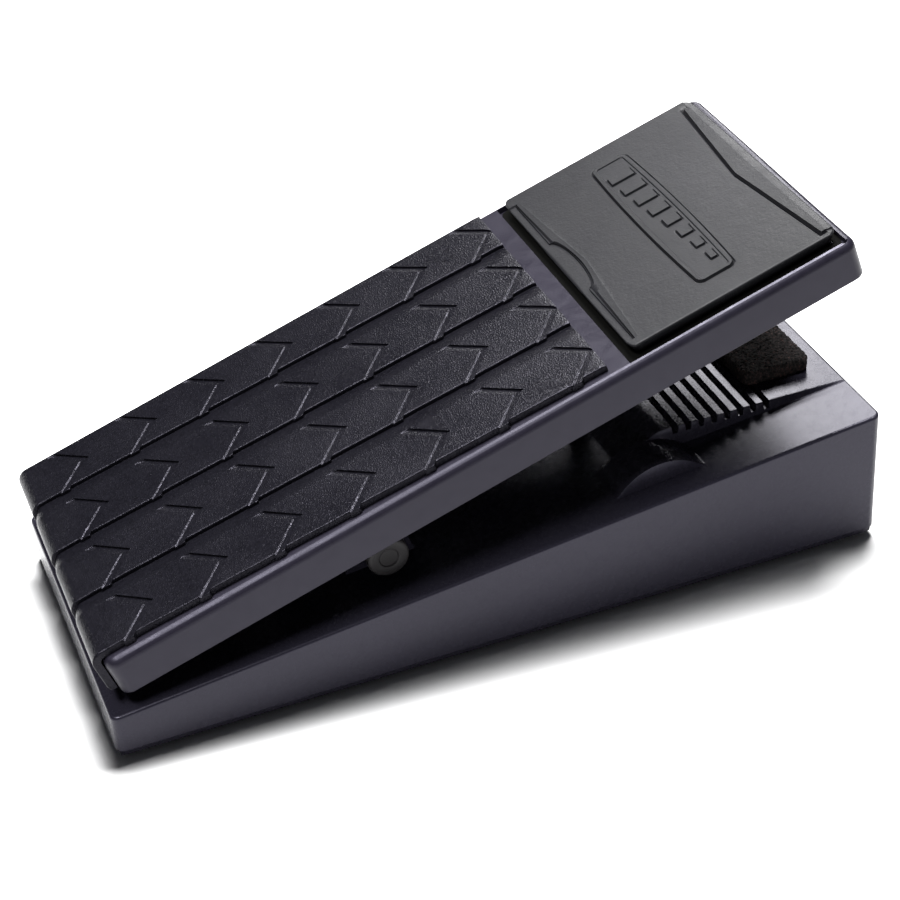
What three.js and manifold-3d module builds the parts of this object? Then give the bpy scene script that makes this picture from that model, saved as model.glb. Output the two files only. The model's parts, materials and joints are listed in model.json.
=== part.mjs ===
// A foot-operated expression pedal: a treadle that rocks on a wedge-shaped housing and
// turns a potentiometer through a toothed sector.
// Millimetres. +X points to the toe end, +Y to the far side and +Z up. The origin is the
// centre of the whole pedal's outline at floor level.
import * as THREE from "three";
import { mergeVertices } from "three/addons/utils/BufferGeometryUtils.js";
import Module from "manifold-3d";

const wasm = await Module();
wasm.setup();

// ------------------------------------------------------------- driving dimensions

const GAP = 0.3; // left between pieces that touch
const MERGE_DISTANCE = 1e-4;

const HOUSING = { length: 250, width: 108.8, heelHeight: 14.9, toeHeight: 45.3, wall: 3, cornerRadius: 3 };
const SHELF = { rampStart: 45, top: 61, halfWidth: 32.5, height: 45.3 };
const SLOTS = { count: 8, first: 64.2, pitch: 4.5, width: 2.1, depth: 2.4 };
const BULGE = { x: 55.1, z: 24.3, radius: 18.8, outerY: -45, innerY: -31, wall: 2.6 };
const PLATE = { bottom: 0.5, thickness: 1.5, clearance: 0.3 };
const FOOT = { radius: 8, drop: 2, x: 104, y: 36 };
const BASE_SCREW = { xs: [-112, 8, 113], y: 45, bossRadius: 4 };
const FOAM = { heelEnd: 94, toeEnd: 117.6, width: 45, top: 50.7, cornerRadius: 3 };

const PIVOT = { x: -33.5, z: 33.5, axleRadius: 3, axleHalfLength: 38.9 };
const PILLAR = { innerY: 24, outerY: 32, radius: 9, halfBase: 12 };
const BUSH = { radius: 5, flangeRadius: 6.2, flangeThickness: 0.8 };
const AXLE_CAP = { radius: 6.6, innerY: 35.6, outerY: 41, boreEnd: 39.2 };

// The treadle's own frame: u runs from heel to toe, v across and w out of its top face.
const TREADLE = { tilt: 17.77, length: 249.5, width: 105.3, depth: 13.4, wall: 3, cornerRadius: 4 };
const TREADLE_PIVOT = { u: 86, w: -13.9 };
const RIB = { thickness: 2, v: 26, bottom: 4 };
const FOAM_STOPS = [216, 225.5, 235];
const HEEL_STOP = { from: 4, to: 14, v: 30, width: 14 };
const BRACKET = { halfLength: 16, earInner: 33.3, thickness: 2, bottom: 3.7, earRadius: 6.5 };
const BRACKET_SCREW = { u: 11, v: 22 };

const MAT = { noseU: -3, toeU: 167.3, width: 99.6, top: 15.8, noseRadius: 4, noseBottom: 1.5, noseThickness: 2.6 };
const LANE = { count: 4, pitch: 26.1, firstEdge: -49.8, groove: 1.6, grooveDepth: 1.2 };
const PAD_RECESS = { heelU: 173.8, toeU: 248.4, width: 100, floor: 11.6, cornerRadius: 3 };
const PAD = { heelU: 175.6, toeU: 248, width: 96.4, top: 16.2, cornerRadius: 3.5 };
const BADGE = { heelU: 204.8, toeU: 216.9, width: 77, top: 16.9, cornerRadius: 2 };

const GEAR = { module: 1, pinionTeeth: 15, sectorTeeth: 166, pressureAngle: 20, flankRelief: 0.16 };
const SECTOR = { contactAngle: -2.5, teethBelow: 1, teethAbove: 9, innerRadius: 76, thickness: 6, addendum: 0.9 };
const SECTOR_FOOT = { fromPivot: 70, toPivot: 90, halfWidth: 10.5, bottom: 3, top: 5.7, screwV: 7.2 };
const SECTOR_SLOT = { heelEnd: 41.5, toeEnd: 53, halfWidth: 9 };

const POT = { radius: 8.5, back: -42, face: -35.3, bushingRadius: 4.7, bushingEnd: -29.3, shaftRadius: 3 };
const POT_BRACKET = { faceY: -35, thickness: 2, halfLength: 14, foot: 9.7, headRadius: 9, footDepth: 15 };
const POT_SCREW = { fromAxis: 9.6, y: -25 };
const JACK = { y: 24, z: 20, size: 16, inner: 96, face: 117.2, tip: 124.2, threadRadius: 4.7, bore: 3.3 };
const JACK_POCKET = { radius: 9, floor: 120.5, bossRadius: 12.5, bossStart: 117.5 };
const WIRE_RADIUS = 0.8;

// Small screws: head radius and height, shank radius and length.
const PLATE_SCREW = { headRadius: 2.9, headHeight: 1.4, shankRadius: 1.5, length: 8.5 };
const INNER_SCREW = { headRadius: 2.6, headHeight: 1.5, shankRadius: 1.4, length: 7 };

const ROUND = 24; // facets round a large turned piece
const SMALL_ROUND = 12; // facets round a small one

// ------------------------------------------------------------- derived dimensions

const degrees = THREE.MathUtils.degToRad;
const halfLength = HOUSING.length / 2;
const halfWidth = HOUSING.width / 2;
const deckSlope = (HOUSING.toeHeight - HOUSING.heelHeight) / HOUSING.length;
const deckHeight = (x) => HOUSING.heelHeight + (x + halfLength) * deckSlope;
const plateTop = PLATE.bottom + PLATE.thickness;
const treadleSkin = TREADLE.depth - TREADLE.wall; // underside of the treadle's top wall
const pinionRadius = (GEAR.module * GEAR.pinionTeeth) / 2;
const sectorRadius = (GEAR.module * GEAR.sectorTeeth) / 2;
const axisDistance = pinionRadius + sectorRadius;
const pinionX = PIVOT.x + axisDistance * Math.cos(degrees(SECTOR.contactAngle));
const pinionZ = PIVOT.z + axisDistance * Math.sin(degrees(SECTOR.contactAngle));

// ------------------------------------------------------------------- solid helpers

/** A closed three.js geometry as a solid that can be joined and cut. */
function toSolid(geometry) {
  const bare = geometry.clone();
  bare.deleteAttribute("normal");
  bare.deleteAttribute("uv");
  const merged = mergeVertices(bare, MERGE_DISTANCE);
  const mesh = new wasm.Mesh({
    numProp: 3,
    vertProperties: new Float32Array(merged.getAttribute("position").array),
    triVerts: new Uint32Array(merged.index.array),
  });
  return new wasm.Manifold(mesh);
}

/** A solid's faces as a three.js geometry. */
function toGeometry(solid) {
  const mesh = solid.getMesh();
  const positions = new Float32Array(mesh.numVert * 3);
  for (let i = 0; i < mesh.numVert; i += 1) {
    const start = i * mesh.numProp;
    positions.set(mesh.vertProperties.subarray(start, start + 3), i * 3);
  }
  const geometry = new THREE.BufferGeometry();
  geometry.setAttribute("position", new THREE.BufferAttribute(positions, 3));
  geometry.setIndex(new THREE.BufferAttribute(mesh.triVerts, 1));
  geometry.computeVertexNormals();
  return geometry;
}

const joinAll = (solids) => solids.reduce((whole, piece) => whole.add(piece));
const cutAll = (solid, tools) => tools.reduce((rest, tool) => rest.subtract(tool), solid);

function block([x0, x1], [y0, y1], [z0, z1]) {
  const geometry = new THREE.BoxGeometry(x1 - x0, y1 - y0, z1 - z0);
  geometry.translate((x0 + x1) / 2, (y0 + y1) / 2, (z0 + z1) / 2);
  return toSolid(geometry);
}

function polygon(points) {
  return new THREE.Shape(points.map(([a, b]) => new THREE.Vector2(a, b)));
}

function roundedRectangle([x0, x1], [y0, y1], radius) {
  const shape = new THREE.Shape();
  const quarter = Math.PI / 2;
  shape.absarc(x1 - radius, y0 + radius, radius, -quarter, 0, false);
  shape.absarc(x1 - radius, y1 - radius, radius, 0, quarter, false);
  shape.absarc(x0 + radius, y1 - radius, radius, quarter, 2 * quarter, false);
  shape.absarc(x0 + radius, y0 + radius, radius, 2 * quarter, 3 * quarter, false);
  return shape;
}

/** A plan outline raised from z0 to z1. */
function raised(shape, [z0, z1], curveSegments = 3) {
  const settings = { depth: z1 - z0, bevelEnabled: false, curveSegments };
  const geometry = new THREE.ExtrudeGeometry(shape, settings);
  geometry.translate(0, 0, z0);
  return toSolid(geometry);
}

/** A side outline, drawn in X and Z, run across the pedal from y0 to y1. */
function across(shape, [y0, y1], curveSegments = 8) {
  const settings = { depth: y1 - y0, bevelEnabled: false, curveSegments };
  const geometry = new THREE.ExtrudeGeometry(shape, settings);
  geometry.rotateX(Math.PI / 2);
  geometry.translate(0, y1, 0);
  return toSolid(geometry);
}

function alongAxis(geometry, axis) {
  if (axis === "x") geometry.rotateZ(-Math.PI / 2);
  if (axis === "z") geometry.rotateX(Math.PI / 2);
  return geometry;
}

/** A round bar along an axis, between two places on it, about a centre line. */
function bar(axis, radius, [start, end], centre, facets = SMALL_ROUND) {
  const geometry = new THREE.CylinderGeometry(radius, radius, end - start, facets);
  geometry.translate(0, (start + end) / 2, 0);
  alongAxis(geometry, axis);
  geometry.translate(...centre);
  return toSolid(geometry);
}

/** A turned piece from a profile of [radius, place along the axis] points. */
function turned(axis, profile, centre, facets = SMALL_ROUND) {
  const points = profile.map(([radius, along]) => new THREE.Vector2(radius, along));
  const build = (list) => {
    const geometry = alongAxis(new THREE.LatheGeometry(list, facets), axis);
    geometry.translate(...centre);
    return toSolid(geometry);
  };
  const solid = build(points);
  return solid.volume() > 0 ? solid : build(points.reverse());
}

/** A turned ring of one rectangular section. */
function ring(axis, inner, outer, [start, end], centre, facets = SMALL_ROUND) {
  const section = [[inner, start], [outer, start], [outer, end], [inner, end], [inner, start]];
  return turned(axis, section, centre, facets);
}

// ----------------------------------------------------------------------- materials

const FINISH = {
  housing: { color: 0x2c2b33, roughness: 0.42, metalness: 0 },
  treadle: { color: 0x2f2e37, roughness: 0.45, metalness: 0 },
  mat: { color: 0x19191c, roughness: 0.7, metalness: 0 },
  pad: { color: 0x4a4b4e, roughness: 0.65, metalness: 0 },
  foam: { color: 0x131314, roughness: 0.95, metalness: 0 },
  foot: { color: 0x1a1a1a, roughness: 0.85, metalness: 0 },
  plate: { color: 0x222326, roughness: 0.5, metalness: 0.4 },
  steel: { color: 0xa8abb0, roughness: 0.35, metalness: 1 },
  bracket: { color: 0x1d1e21, roughness: 0.5, metalness: 0.6 },
  cap: { color: 0x77777b, roughness: 0.55, metalness: 0 },
  bush: { color: 0xd9d6cc, roughness: 0.5, metalness: 0 },
  gear: { color: 0x1c1d20, roughness: 0.45, metalness: 0 },
  resin: { color: 0x1b1c1f, roughness: 0.5, metalness: 0 },
  redWire: { color: 0xa8201a, roughness: 0.5, metalness: 0 },
  whiteWire: { color: 0xdcdad2, roughness: 0.5, metalness: 0 },
  blackWire: { color: 0x161616, roughness: 0.5, metalness: 0 },
};

function piece(name, solid, finish) {
  const mesh = new THREE.Mesh(toGeometry(solid), new THREE.MeshStandardMaterial(FINISH[finish]));
  mesh.name = name;
  return mesh;
}

// ------------------------------------------------------------------------- housing

/** The height of the housing's middle band: the deck, then a smooth ramp, then the level shelf. */
function shelfHeight(x) {
  const share = THREE.MathUtils.clamp((x - SHELF.rampStart) / (SHELF.top - SHELF.rampStart), 0, 1);
  const rise = share * share * (3 - 2 * share);
  return deckHeight(x) + rise * (SHELF.height - deckHeight(x));
}

/** The side outline of the level shelf and of the ramp that climbs to it. */
function shelfOutline() {
  const steps = 6;
  const points = [];
  for (let i = 0; i <= steps; i += 1) {
    const x = SHELF.rampStart + (i / steps) * (SHELF.top - SHELF.rampStart);
    points.push([x, shelfHeight(x)]);
  }
  points.push([halfLength, SHELF.height]);
  points.push([halfLength, deckHeight(halfLength) - HOUSING.wall]);
  points.push([SHELF.rampStart, deckHeight(SHELF.rampStart) - HOUSING.wall]);
  return polygon(points);
}

/** One pivot pillar: a rounded upright on the deck. */
function pillar(side) {
  const shape = new THREE.Shape();
  const heelSide = PIVOT.x - PILLAR.halfBase;
  const toeSide = PIVOT.x + PILLAR.halfBase;
  shape.moveTo(heelSide, deckHeight(heelSide) - 2);
  shape.lineTo(toeSide, deckHeight(toeSide) - 2);
  shape.absarc(PIVOT.x, PIVOT.z, PILLAR.radius, 0, Math.PI, false);
  const ends = [side * PILLAR.innerY, side * PILLAR.outerY].sort((a, b) => a - b);
  return across(shape, ends);
}

/** The wedge-shaped body before anything is cut from it. */
function housingOutside() {
  const side = polygon([
    [-halfLength, 0],
    [halfLength, 0],
    [halfLength, HOUSING.toeHeight],
    [-halfLength, HOUSING.heelHeight],
  ]);
  const plan = roundedRectangle([-halfLength, halfLength], [-halfWidth, halfWidth], HOUSING.cornerRadius);
  const wedge = across(side, [-halfWidth, halfWidth]).intersect(raised(plan, [-1, HOUSING.toeHeight + 1]));
  const shelf = across(shelfOutline(), [-SHELF.halfWidth, SHELF.halfWidth]);
  const bulge = bar("y", BULGE.radius, [BULGE.outerY, BULGE.innerY], [BULGE.x, 0, BULGE.z], 40);
  return joinAll([wedge, shelf, bulge]);
}

/** The hollow under the deck, the shelf and the bulge. */
function housingInside() {
  const inset = halfLength - HOUSING.wall;
  const ceiling = (x) => deckHeight(x) - HOUSING.wall;
  const underDeck = polygon([[-inset, -1], [inset, -1], [inset, ceiling(inset)], [-inset, ceiling(-inset)]]);
  const sideInset = halfWidth - HOUSING.wall;
  const shelfCeiling = SHELF.height - HOUSING.wall - SLOTS.depth;
  const shelfInset = SHELF.halfWidth - HOUSING.wall;
  const bulgeDepth = [BULGE.outerY + BULGE.wall, BULGE.innerY + 2];
  return joinAll([
    across(underDeck, [-sideInset, sideInset]),
    block([SHELF.top - 3, 104], [-shelfInset, shelfInset], [30, shelfCeiling]),
    bar("y", BULGE.radius - BULGE.wall, bulgeDepth, [BULGE.x, 0, BULGE.z], 32),
  ]);
}

/** A screw boss that hangs from the ceiling down to a given height, with its pilot hole. */
function hangingBoss([x, y], radius, [bottom, top], pilotRadius, pilotDepth) {
  return {
    post: bar("z", radius, [bottom, top], [x, y, 0]),
    pilot: bar("z", pilotRadius, [bottom - 1, bottom + pilotDepth], [x, y, 0]),
  };
}

function housingBosses() {
  const bosses = [];
  for (const x of BASE_SCREW.xs) {
    for (const side of [-1, 1]) {
      const span = [plateTop + GAP, deckHeight(x) - 1];
      bosses.push(hangingBoss([x, side * BASE_SCREW.y], BASE_SCREW.bossRadius, span, 1.8, 7.5));
    }
  }
  for (const side of [-1, 1]) {
    const x = pinionX + side * POT_SCREW.fromAxis;
    const span = [POT_BRACKET.foot + POT_BRACKET.thickness + GAP, shelfHeight(x) - 1];
    bosses.push(hangingBoss([x, POT_SCREW.y], 3.5, span, 1.7, 7));
  }
  return bosses;
}

function gripSlots() {
  const reach = SHELF.halfWidth + 1;
  return Array.from({ length: SLOTS.count }, (_, i) => {
    const x = SLOTS.first + i * SLOTS.pitch;
    return block([x, x + SLOTS.width], [-reach, reach], [SHELF.height - SLOTS.depth, SHELF.height + 1]);
  });
}

function baseHousing() {
  const bosses = housingBosses();
  const jackBoss = bar("x", JACK_POCKET.bossRadius, [JACK_POCKET.bossStart, halfLength - 1], [0, JACK.y, JACK.z], ROUND);
  const shell = joinAll([
    housingOutside().subtract(housingInside()),
    pillar(-1),
    pillar(1),
    jackBoss,
    ...bosses.map((boss) => boss.post),
  ]);
  const pinionRoom = pinionRadius + GEAR.module + 0.6;
  return cutAll(shell, [
    ...bosses.map((boss) => boss.pilot),
    ...gripSlots(),
    block([SECTOR_SLOT.heelEnd, SECTOR_SLOT.toeEnd], [-SECTOR_SLOT.halfWidth, SECTOR_SLOT.halfWidth], [20, 50]),
    bar("y", pinionRoom, [-SECTOR_SLOT.halfWidth, SECTOR_SLOT.halfWidth], [pinionX, 0, pinionZ], ROUND),
    bar("y", BUSH.radius + GAP, [-PILLAR.outerY - 1, PILLAR.outerY + 1], [PIVOT.x, 0, PIVOT.z], ROUND),
    bar("x", JACK_POCKET.radius, [JACK_POCKET.floor, halfLength + 1], [0, JACK.y, JACK.z], ROUND),
    bar("x", JACK.threadRadius + 0.4, [JACK_POCKET.bossStart - 1, halfLength], [0, JACK.y, JACK.z], ROUND),
  ]);
}

function bottomPlate() {
  const edge = HOUSING.wall + PLATE.clearance;
  const plan = roundedRectangle(
    [edge - halfLength, halfLength - edge],
    [edge - halfWidth, halfWidth - edge],
    HOUSING.cornerRadius,
  );
  const plate = raised(plan, [PLATE.bottom, plateTop]);
  const holes = BASE_SCREW.xs.flatMap((x) =>
    [-1, 1].map((side) => countersink([x, side * BASE_SCREW.y, PLATE.bottom])),
  );
  return cutAll(plate, holes);
}

/** A cone-shaped hole that a flat-head screw sinks into, with its wide end on the given centre. */
function countersink(centre) {
  const { headRadius, headHeight, shankRadius } = PLATE_SCREW;
  const profile = [
    [0, -1],
    [headRadius + GAP + 0.1, -1],
    [headRadius + GAP + 0.1, 0],
    [shankRadius + GAP + 0.1, headHeight],
    [shankRadius + GAP + 0.1, headHeight + 1],
    [0, headHeight + 1],
  ];
  return turned("z", profile, centre);
}

/** A flat-head screw, pointing up, with its head flush with the given centre. */
function flatHeadScrew(centre) {
  const { headRadius, headHeight, shankRadius, length } = PLATE_SCREW;
  const profile = [
    [0, 0],
    [headRadius, 0],
    [shankRadius, headHeight],
    [shankRadius, length - 0.6],
    [shankRadius * 0.5, length],
    [0, length],
  ];
  return turned("z", profile, centre);
}

function foot(x, y) {
  const top = PLATE.bottom - GAP;
  const edge = 0.5;
  const profile = [
    [0, -FOOT.drop],
    [FOOT.radius - edge, -FOOT.drop],
    [FOOT.radius, edge - FOOT.drop],
    [FOOT.radius, top],
    [0, top],
  ];
  return turned("z", profile, [x, y, 0], ROUND);
}

/** A pan-head screw along an axis; its head bears on the plane at the given centre. */
function screw(axis, size, centre) {
  const { headRadius, headHeight, shankRadius, length } = size;
  const profile = [
    [0, -headHeight],
    [headRadius * 0.75, -headHeight],
    [headRadius, -headHeight * 0.4],
    [headRadius, 0],
    [shankRadius, 0],
    [shankRadius, length - 0.6],
    [shankRadius * 0.5, length],
    [0, length],
  ];
  return turned(axis, profile, centre);
}

function foamBumper() {
  const half = FOAM.width / 2;
  const plan = roundedRectangle([FOAM.heelEnd, FOAM.toeEnd], [-half, half], FOAM.cornerRadius);
  return raised(plan, [SHELF.height + GAP, FOAM.top]);
}

/** A rubber wedge between the deck and the treadle's heel stop. */
function heelBumper(side) {
  const tilt = degrees(TREADLE.tilt);
  const underTreadle = (u) => [
    PIVOT.x + (u - TREADLE_PIVOT.u) * Math.cos(tilt) + TREADLE_PIVOT.w * Math.sin(tilt),
    PIVOT.z + (u - TREADLE_PIVOT.u) * Math.sin(tilt) - TREADLE_PIVOT.w * Math.cos(tilt) - GAP,
  ];
  const heelTop = underTreadle(HEEL_STOP.from + 0.5);
  const toeTop = underTreadle(HEEL_STOP.to - 0.5);
  const shape = polygon([
    [heelTop[0], deckHeight(heelTop[0]) + GAP],
    [toeTop[0], deckHeight(toeTop[0]) + GAP],
    toeTop,
    heelTop,
  ]);
  const half = HEEL_STOP.width / 2 - 1;
  return across(shape, [side * HEEL_STOP.v - half, side * HEEL_STOP.v + half]);
}

/** A flanged bush in a pillar; the flange keeps the bracket's ear off the pillar. */
function pivotBush(side) {
  const inner = PIVOT.axleRadius + GAP;
  const flangeStart = PILLAR.outerY + 0.25;
  const flangeEnd = flangeStart + BUSH.flangeThickness;
  const section = [
    [inner, PILLAR.innerY],
    [BUSH.radius, PILLAR.innerY],
    [BUSH.radius, flangeStart],
    [BUSH.flangeRadius, flangeStart],
    [BUSH.flangeRadius, flangeEnd],
    [inner, flangeEnd],
    [inner, PILLAR.innerY],
  ];
  const placed = section.map(([radius, along]) => [radius, side * along]);
  return turned("y", placed, [PIVOT.x, 0, PIVOT.z], ROUND);
}

// ---------------------------------------------------------------- pot, jack, wires

/** The pot's can, threaded bushing and three solder lugs. */
function potBody() {
  const lugTop = pinionZ - POT.radius + 1.5;
  const lugs = [-4, 0, 4].map((offset) =>
    block([pinionX + offset - 1, pinionX + offset + 1], [-39.4, -38.6], [pinionZ - POT.radius - 5, lugTop]),
  );
  const can = bar("y", POT.radius, [POT.back, POT.face], [pinionX, 0, pinionZ], ROUND);
  const bushing = bar("y", POT.bushingRadius, [POT.face - 1, POT.bushingEnd], [pinionX, 0, pinionZ], ROUND);
  const bore = bar("y", POT.shaftRadius + GAP, [POT.face - 1.5, POT.bushingEnd + 1], [pinionX, 0, pinionZ], ROUND);
  return joinAll([can, bushing, ...lugs]).subtract(bore);
}

/** A folded steel bracket: an upright that holds the pot and a foot screwed to two bosses. */
function potBracket() {
  const { faceY, thickness, halfLength: reach, foot: footBottom, headRadius, footDepth } = POT_BRACKET;
  const span = [pinionX - reach, pinionX + reach];
  const shape = new THREE.Shape();
  shape.moveTo(pinionX - headRadius, footBottom);
  shape.lineTo(pinionX + headRadius, footBottom);
  shape.absarc(pinionX, pinionZ, headRadius, 0, Math.PI, false);
  const upright = across(shape, [faceY, faceY + thickness]);
  const footing = block(span, [faceY, faceY + footDepth], [footBottom, footBottom + thickness]);
  const holes = [-1, 1].map((side) =>
    bar("z", 1.7, [footBottom - 1, footBottom + 4], [pinionX + side * POT_SCREW.fromAxis, POT_SCREW.y, 0]),
  );
  const seat = bar("y", POT.bushingRadius + GAP, [faceY - 1, faceY + 4], [pinionX, 0, pinionZ], ROUND);
  return cutAll(upright.add(footing), [...holes, seat]);
}

/** A hexagonal nut with a round hole. */
function nut(axis, acrossCorners, hole, span, centre) {
  const hexagon = bar(axis, acrossCorners / 2, span, centre, 6);
  return hexagon.subtract(bar(axis, hole, [span[0] - 1, span[1] + 1], centre, ROUND));
}

/** The output socket: body, threaded bushing, three solder lugs and the plug's bore. */
function jackBody() {
  const { y, z, size, inner, face, tip, threadRadius, bore } = JACK;
  const half = size / 2;
  const body = block([inner, face], [y - half, y + half], [z - half, z + half]);
  const thread = bar("x", threadRadius, [face - 1, tip], [0, y, z], ROUND);
  const lugs = [-4, 0, 4].map((offset) =>
    block([inner - 5, inner + 1], [y + offset - 1, y + offset + 1], [z - 6.4, z - 5.6]),
  );
  const hole = bar("x", bore, [inner + 2, tip + 1], [0, y, z], ROUND);
  return joinAll([body, thread, ...lugs]).subtract(hole);
}

/** One insulated wire from a pot lug to a socket lug, laid along the floor of the housing. */
function wire(offset) {
  const potLug = [pinionX + offset, -39, pinionZ - POT.radius - 5 - GAP];
  const jackLug = [JACK.inner - 5 - GAP, JACK.y + offset, JACK.z - 6];
  const spread = 2.2 * (offset / 4);
  const route = [
    potLug,
    [potLug[0], potLug[1], 10],
    [potLug[0] + 6, -39 + spread, 5.2],
    [76 - spread, -34 + spread, 4.2],
    [81 - spread, -10, 4.2],
    [81 - spread, 8, 5],
    [jackLug[0] - 6, jackLug[1] - 1, 10],
    jackLug,
  ];
  const path = new THREE.CatmullRomCurve3(route.map((point) => new THREE.Vector3(...point)), false, "centripetal");
  const section = new THREE.Shape();
  section.absarc(0, 0, WIRE_RADIUS, 0, 2 * Math.PI, false);
  return toSolid(new THREE.ExtrudeGeometry(section, { steps: 26, extrudePath: path, curveSegments: 3 }));
}

// ---------------------------------------------------------------------------- gears

const involute = (angle) => Math.tan(angle) - angle;

/** One gear tooth's outline about angle 0, as [radius, angle] points from one root to the other. */
function toothOutline(teeth, addendum) {
  const radius = (GEAR.module * teeth) / 2;
  const pressure = degrees(GEAR.pressureAngle);
  const base = radius * Math.cos(pressure);
  const root = radius - 1.25 * GEAR.module;
  const tip = radius + addendum * GEAR.module;
  const halfAtPitch = Math.PI / 2 / teeth - GEAR.flankRelief / radius;
  const halfAt = (r) => halfAtPitch + involute(pressure) - involute(Math.acos(Math.min(1, base / r)));
  const flank = [root, (root + radius) / 2, radius, (radius + tip) / 2, tip].map((r) => [r, halfAt(r)]);
  return [...flank.map(([r, half]) => [r, -half]), ...flank.reverse()];
}

const polar = ([radius, angle], centre) => [
  centre[0] + radius * Math.cos(angle),
  centre[1] + radius * Math.sin(angle),
];

/** The small gear on the pot's shaft, with a gap facing the pivot. */
function pinion() {
  const pitch = (2 * Math.PI) / GEAR.pinionTeeth;
  const towardPivot = Math.PI + degrees(SECTOR.contactAngle);
  const points = [];
  for (let i = 0; i < GEAR.pinionTeeth; i += 1) {
    const middle = towardPivot + (i + 0.5) * pitch;
    for (const [radius, angle] of toothOutline(GEAR.pinionTeeth, 1)) {
      points.push(polar([radius, middle + angle], [pinionX, pinionZ]));
    }
  }
  const half = SECTOR.thickness / 2 + 0.5;
  const gear = across(polygon(points), [-half, half]);
  return gear.subtract(bar("y", POT.shaftRadius + GAP, [-half - 1, half + 1], [pinionX, 0, pinionZ], ROUND));
}

/** The toothed sector under the treadle, in a frame centred on the pivot. */
function gearSector() {
  const pitch = (2 * Math.PI) / GEAR.sectorTeeth;
  const contact = degrees(SECTOR.contactAngle - TREADLE.tilt);
  const root = sectorRadius - 1.25 * GEAR.module;
  const footLevel = SECTOR_FOOT.bottom + 1 - TREADLE_PIVOT.w;
  const points = [];
  for (let i = -SECTOR.teethBelow; i <= SECTOR.teethAbove; i += 1) {
    for (const [radius, angle] of toothOutline(GEAR.sectorTeeth, SECTOR.addendum)) {
      points.push(polar([radius, contact + i * pitch + angle], [0, 0]));
    }
  }
  const lowest = contact - (SECTOR.teethBelow + 0.3) * pitch;
  const arcSteps = 7;
  const outerTop = Math.asin(footLevel / root);
  const innerTop = Math.asin(footLevel / SECTOR.innerRadius);
  const highestTooth = contact + (SECTOR.teethAbove + 0.6) * pitch;
  for (let i = 0; i <= arcSteps; i += 1) {
    points.push(polar([root, highestTooth + (outerTop - highestTooth) * (i / arcSteps)], [0, 0]));
  }
  for (let i = 0; i <= arcSteps * 2; i += 1) {
    points.push(polar([SECTOR.innerRadius, innerTop + (lowest - innerTop) * (i / arcSteps / 2)], [0, 0]));
  }
  const half = SECTOR.thickness / 2;
  const web = across(polygon(points), [-half, half]);
  const footSpan = [SECTOR_FOOT.bottom - TREADLE_PIVOT.w, SECTOR_FOOT.top - TREADLE_PIVOT.w];
  const wide = SECTOR_FOOT.halfWidth;
  const footing = block([SECTOR_FOOT.fromPivot, SECTOR_FOOT.toPivot], [-wide, wide], footSpan);
  const screwU = (SECTOR_FOOT.fromPivot + SECTOR_FOOT.toPivot) / 2;
  const holes = [-1, 1].map((side) => bar("z", 1.7, [10, 25], [screwU, side * SECTOR_FOOT.screwV, 0]));
  return cutAll(web.add(footing), holes);
}

// -------------------------------------------------------------------------- treadle

/** Stiffening ribs, stop blocks and screw bosses under the treadle's top wall. */
function treadleInside() {
  const halfV = TREADLE.width / 2 - TREADLE.wall + 0.5;
  const top = treadleSkin + 0.5;
  const half = RIB.thickness / 2;
  const crossRib = (u, bottom, reach) => block([u - half, u + half], [-reach, reach], [bottom, top]);
  const longRib = (v, from, to) => block([from, to], [v - half, v + half], [RIB.bottom, top]);
  const bossTop = treadleSkin + 0.5;
  const boss = (u, v) => bar("z", 4, [SECTOR_FOOT.top + GAP, bossTop], [u, v, 0]);
  const footU = TREADLE_PIVOT.u + (SECTOR_FOOT.fromPivot + SECTOR_FOOT.toPivot) / 2;
  const ribs = [];
  const bosses = [];
  for (const side of [-1, 1]) {
    ribs.push(longRib(side * RIB.v, 2, TREADLE_PIVOT.u - 20));
    ribs.push(longRib(side * RIB.v, TREADLE_PIVOT.u + 20, TREADLE.length - 2));
    const stop = [side * HEEL_STOP.v - HEEL_STOP.width / 2, side * HEEL_STOP.v + HEEL_STOP.width / 2];
    ribs.push(block([HEEL_STOP.from, HEEL_STOP.to], stop, [0, top]));
    bosses.push(boss(footU, side * SECTOR_FOOT.screwV));
    for (const end of [-1, 1]) {
      bosses.push(boss(TREADLE_PIVOT.u + end * BRACKET_SCREW.u, side * BRACKET_SCREW.v));
    }
  }
  for (const u of [40, 64, 108, 145, 190]) ribs.push(crossRib(u, RIB.bottom, halfV));
  for (const u of FOAM_STOPS) ribs.push(crossRib(u, 0, RIB.v));
  return joinAll([...ribs, ...bosses]);
}

function treadleScrewPlaces() {
  const places = [];
  for (const side of [-1, 1]) {
    for (const end of [-1, 1]) {
      places.push([TREADLE_PIVOT.u + end * BRACKET_SCREW.u, side * BRACKET_SCREW.v, BRACKET.bottom - GAP]);
    }
    const footU = TREADLE_PIVOT.u + (SECTOR_FOOT.fromPivot + SECTOR_FOOT.toPivot) / 2;
    places.push([footU, side * SECTOR_FOOT.screwV, SECTOR_FOOT.bottom - GAP]);
  }
  return places;
}

function treadleShell() {
  const { length, width, depth, wall, cornerRadius } = TREADLE;
  const outside = raised(roundedRectangle([0, length], [-width / 2, width / 2], cornerRadius), [0, depth]);
  const innerPlan = roundedRectangle([wall, length - wall], [wall - width / 2, width / 2 - wall], 1.5);
  const hollow = raised(innerPlan, [-1, treadleSkin]);
  const pilots = treadleScrewPlaces().map(([u, v]) => bar("z", 1.7, [1, treadleSkin + 0.4], [u, v, 0]));
  const { heelU, toeU, width: recessWidth, floor, cornerRadius: recessCorner } = PAD_RECESS;
  const recessPlan = roundedRectangle([heelU, toeU], [-recessWidth / 2, recessWidth / 2], recessCorner);
  const recess = raised(recessPlan, [floor, depth + 1]);
  return cutAll(outside.subtract(hollow).add(treadleInside()), [...pilots, recess]);
}

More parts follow.
